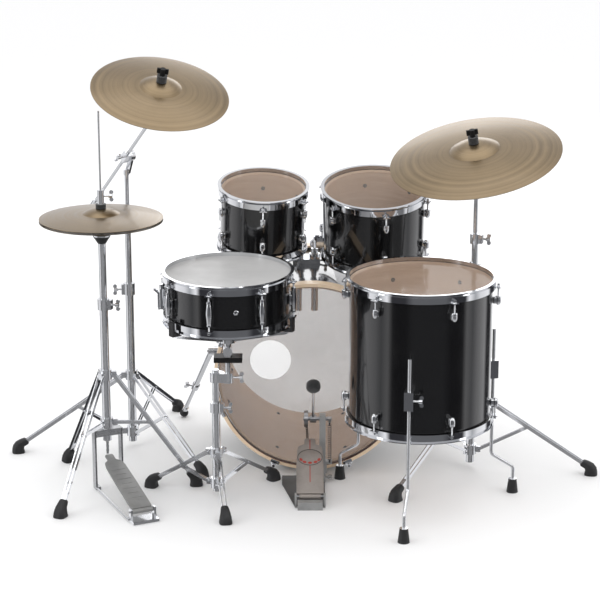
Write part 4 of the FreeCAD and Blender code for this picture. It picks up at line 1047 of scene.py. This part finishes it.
def bass_footboard():
    """The longboard of the bass pedal with its oval panel, red marks and hinge. Gives back its toe."""
    pivot = Vector(JOINTS["pedal_press"]["pos_m"])
    toe = pivot + Vector((0, 180, 109)) * MM
    along = (toe - pivot).normalized()
    spot = frame_at(pivot, ALONG_X, along, ALONG_X.cross(along))
    length = (toe - pivot).length / MM
    centre = length * 0.66
    wide, high = 36, 29
    oval = [(wide * math.cos(t), centre + high * math.sin(t)) for t in np.linspace(0, 2 * math.pi, 65)[:-1]]
    rim = sweep([Vector((x, y, 7.5)) * MM for x, y in oval], 0.9 * MM, 8, closed=True)
    panel = lathe([(0, 6.9), (34.5, 6.9), (34.5, 7.9), (33.8, 8.1), (0, 8.1)], 64)
    panel = moved(panel, Matrix.Diagonal((1, high / wide, 1, 1)))
    panel = moved(panel, Matrix.Translation(Vector((0, centre, 0)) * MM))
    knuckle, pin = board_hinge()
    board = moved(joined([board_plate(length, 80, 76, 33), panel, knuckle]), spot)
    piece("bass_footboard", board, "pedal_footboard", WARM_CAST, ["pedal_footboard"])
    piece("bass_footboard_pin", moved(pin, spot), "pedal_footboard", STEEL)
    piece("bass_footboard_oval", moved(rim, spot), "pedal_footboard", INK)
    marks = moved(board_marks(length, centre), spot)
    piece("bass_footboard_marks", marks, "pedal_footboard", RED)
    return toe


def pedal_base():
    """The stamped plate under the board, wide at the hoop and narrow at the heel."""
    low, high = (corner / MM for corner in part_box("pedal_frame"))
    left, right = low.x, high.x - 22
    back, front = high.y - 40, low.y + 20
    outline = [(left, back), (left, back - 64), (left + 40, front), (right - 3, front), (right, back)]
    piece("pedal_base_plate", prism(outline, 0.4, 4.6, 0.7), "kit", DARK_CAST)


def pedal_chain(shaft, toe):
    """The chain runs between the frame, where it leaves the cam, and the toe of the board."""
    top = Vector((toe.x - 11.5 * MM, shaft.y + 28.6 * MM, shaft.z))
    foot = toe + Vector((-7, -3, 4)) * MM
    chain = piece("pedal_chain", chain_links(foot, top, ALONG_X), None, BLACK_STEEL)
    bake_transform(chain)


def pedal_spring():
    """The return spring: a coil between two straight ends."""
    low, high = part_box("pedal_spring")
    centre = (low + high) / 2
    turns = 17
    steps = 14
    radius = 5.2 * MM
    bottom = low.z + 6 * MM
    reach = high.z - low.z - 12 * MM

    def on_axis(height):
        return Vector((centre.x, centre.y, height))

    coil = []
    for i in range(turns * steps + 1):
        turn = 2 * math.pi * i / steps
        around = Vector((math.cos(turn), math.sin(turn), 0)) * radius
        coil.append(on_axis(bottom + reach * i / (turns * steps)) + around)
    lower_end = sweep([on_axis(low.z), on_axis(bottom + 4 * MM)], 2.4 * MM, 12)
    upper_end = sweep([on_axis(high.z - 10 * MM), on_axis(high.z)], 2.4 * MM, 12)
    part = joined([sweep(coil, 1.0 * MM, 8), lower_end, upper_end])
    spring = piece("pedal_spring_coil", part, None, DARK_STEEL)
    tuple(on_axis(low.z))
    tuple(on_axis(high.z))
    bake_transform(spring)
    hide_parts("pedal_spring")


def pedal_beater(shaft):
    """Felt beater on its stem, leaning away from the head."""
    points = solids("pedal_beater")[0]
    start = Vector(((points[:, 0].min() + points[:, 0].max()) / 2, shaft.y, shaft.z))
    lean = math.radians(36)
    along = Vector((0, -math.sin(lean), math.cos(lean)))
    face = Vector((0, math.cos(lean), math.sin(lean)))
    reach = 165 * MM
    profile = [(0, -17), (9, -16.6), (15, -14.6), (19.2, -10.6), (21, -5), (21, 4), (19.8, 9.6)]
    felt = moved(lathe(profile + [(16.5, 13.6), (11, 16), (0, 17)], 48), facing(start + along * reach, face))
    collar = lathe([(0, -26), (6.5, -26), (8.2, -24), (8.6, -19), (7.4, -17), (0, -17)], 24)
    collar = moved(collar, facing(start + along * reach, along))
    stem = sweep([start + along * 12.1 * MM, start + along * (reach - 20 * MM)], 3.9 * MM, 16)
    piece("beater_felt", felt, "pedal_shaft", FELT, ["pedal_beater"])
    piece("beater_collar", collar, "pedal_shaft", NYLON)
    piece("beater_stem", stem, "pedal_shaft", TUBE_CHROME)


def hihat_board():
    """The tapering footboard of the hi-hat stand with raised grip bars."""
    pivot = Vector(JOINTS["hihat_footboard_press"]["pos_m"])
    rod = middle(solids("hihat_bottom_cymbal")[0])
    flat = Vector((rod.x - pivot.x, rod.y - pivot.y, 0))
    toe = Vector((rod.x, rod.y, pivot.z + 70 * MM)) - flat.normalized() * 6 * MM
    along = (toe - pivot).normalized()
    across = along.cross(UP).normalized()
    spot = frame_at(pivot, across, along, across.cross(along))
    length = (toe - pivot).length / MM
    bars = []
    for i in range(7):
        y = length * (0.20 + 0.085 * i)
        half = 22 - (i % 2) * 6
        bars.append(block((-half, y - 1.6, 6.8), (half, y + 1.6, 8.2), 0.6, 2))
    knuckle, pin = board_hinge()
    board = moved(joined([board_plate(length, 63, 60, 25), knuckle, *bars]), spot)
    piece("hihat_board", board, "hihat_footboard", GREY_CAST, ["hihat_footboard"])
    piece("hihat_board_pin", moved(pin, spot), "hihat_footboard", STEEL)
    chain_low = Vector((rod.x, rod.y, pivot.z + 78 * MM))
    chain_top = Vector((rod.x, rod.y, pivot.z + 141 * MM))
    piece("hihat_chain", chain_links(chain_low, chain_top, across), "hihat_rod", DARK_STEEL)


# ------------------------------------------------------------ stage


def soft_box(name, place, aim, width, height, power):
    light = bpy.data.lights.new(name, "AREA")
    light.shape = "RECTANGLE"
    light.size = width
    light.size_y = height
    light.energy = power
    made = bpy.data.objects.new(name, light)
    made.location = place
    made.rotation_euler = (Vector(aim) - Vector(place)).to_track_quat("-Z", "Y").to_euler()
    made.visible_camera = False
    bpy.context.scene.collection.objects.link(made)


def studio_light():
    """Even white light for matt surfaces, and soft boxes with dark gaps between them for polished ones."""
    world = bpy.data.worlds.new("studio")
    bpy.context.scene.world = world
    world.use_nodes = True
    tree = world.node_tree
    background = tree.nodes["Background"]
    direction = add(tree, "TexCoord", output="Generated")
    rise = add(tree, "SeparateXYZ", {0: direction}, output="Z")
    # 1 towards the player, 0 away from them, whatever the height looked at.
    towards_player = vector_math(tree, "DOT_PRODUCT", direction, (0.17, -0.985, 0), output="Value")
    squared = add(tree, "Math", {0: rise, 1: rise}, operation="MULTIPLY")
    flat = add(tree, "Math", {0: 1.0001, 1: squared}, operation="SUBTRACT")
    flat = add(tree, "Math", {0: flat, 1: 0.5}, operation="POWER")
    turn = add(tree, "Math", {0: towards_player, 1: flat}, operation="DIVIDE")
    turn = add(tree, "MapRange", {"Value": turn, "From Min": -1.0, "From Max": 1.0})
    white, grey, dark = (0.95, 0.95, 0.97), (0.42, 0.43, 0.45), (0.035, 0.035, 0.04)
    pale, dim = (0.8, 0.8, 0.82), (0.12, 0.122, 0.13)
    stops = [(0.0, white), (0.10, white), (0.15, dark), (0.25, dark), (0.31, white), (0.50, pale)]
    stops += [(0.60, grey), (0.70, white), (0.76, dark), (0.90, dark), (0.955, dim), (1.0, dim)]
    bands = ramp(tree, turn, stops)
    sky = [(0.28, pale), (0.52, (0.95, 0.95, 0.96)), (0.64, (0.60, 0.60, 0.62)), (0.9, (0.92, 0.92, 0.93))]
    above = ramp(tree, rise, sky)
    high = spread(tree, rise, 0.0, 1.0, 0.26, 0.42)
    low = spread(tree, rise, 1.0, 0.0, -0.95, -0.35)
    polished = mix(tree, high, bands, above)
    polished = mix(tree, low, polished, (0.55, 0.55, 0.56))
    glossy = add(tree, "LightPath", output="Is Glossy Ray")
    tree.links.new(mix(tree, glossy, (1.0, 1.0, 1.0), polished), background.inputs["Color"])
    background.inputs["Strength"].default_value = 1.07


def studio():
    """A pale paper floor, the surrounding light and five soft boxes."""
    half = 40
    corners = [(-half, -half, 0), (half, -half, 0), (half, half, 0), (-half, half, 0)]
    floor_mesh = bpy.data.meshes.new("studio_floor")
    floor_mesh.from_pydata(corners, [], [(0, 1, 2, 3)])
    floor = bpy.data.objects.new("studio_floor", floor_mesh)
    bpy.context.scene.collection.objects.link(floor)
    paper, _, _ = new_material("studio_paper", (0.93, 0.93, 0.935), roughness=0.75, Specular_IOR_Level=0.1)
    floor_mesh.materials.append(paper)
    floor.visible_glossy = False
    studio_light()
    soft_box("top_box", (0, 0.3, 4.4), (0, 0, 0), 4.2, 3.0, 30)
    soft_box("left_box", (-4.2, -2.2, 2.0), (0, 0, 0.6), 0.9, 3.4, 22)
    soft_box("right_box", (4.0, -1.6, 1.8), (0.2, 0, 0.6), 0.8, 3.2, 18)
    soft_box("front_box", (-0.8, -6.5, 4.6), (0, 0, 0.6), 2.4, 1.4, 35)
    soft_box("back_box", (0.8, 5.0, 2.6), (0, 0, 0.5), 3.4, 1.8, 25)


def camera():
    """Standing in front of the player's side, a little above the cymbals, looking down at 16 degrees."""
    lens = bpy.data.cameras.new("camera")
    lens.lens = 120
    lens.sensor_width = 36
    lens.clip_end = 100
    made = bpy.data.objects.new("camera", lens)
    made.location = (-0.001, -5.717, 2.179)
    made.rotation_euler = (math.radians(90 - 16), 0, 0)
    bpy.context.scene.collection.objects.link(made)
    bpy.context.scene.camera = made


camera()
finish_frame()
finish_cymbals()
for drum_name in ("floor_tom", "tom_left", "tom_right"):
    tom_lugs(drum_name, f"{drum_name}_lugs")
snare_tube_lugs()
bass_hardware()
inner_screws()
vent("snare", 9)
vent("tom_left", 150)
vent("tom_right", 150)
vent("floor_tom", 170)
snare_wire_set()
tripod_feet()
pedal_base()
board_toe = bass_footboard()
shaft_place = Vector(JOINTS["pedal_shaft_turn"]["pos_m"])
pedal_chain(shaft_place, board_toe)
pedal_spring()
pedal_beater(shaft_place)
hihat_board()
studio()
bpy.context.scene.view_settings.view_transform = "Standard"

bpy.context.view_layer.update()
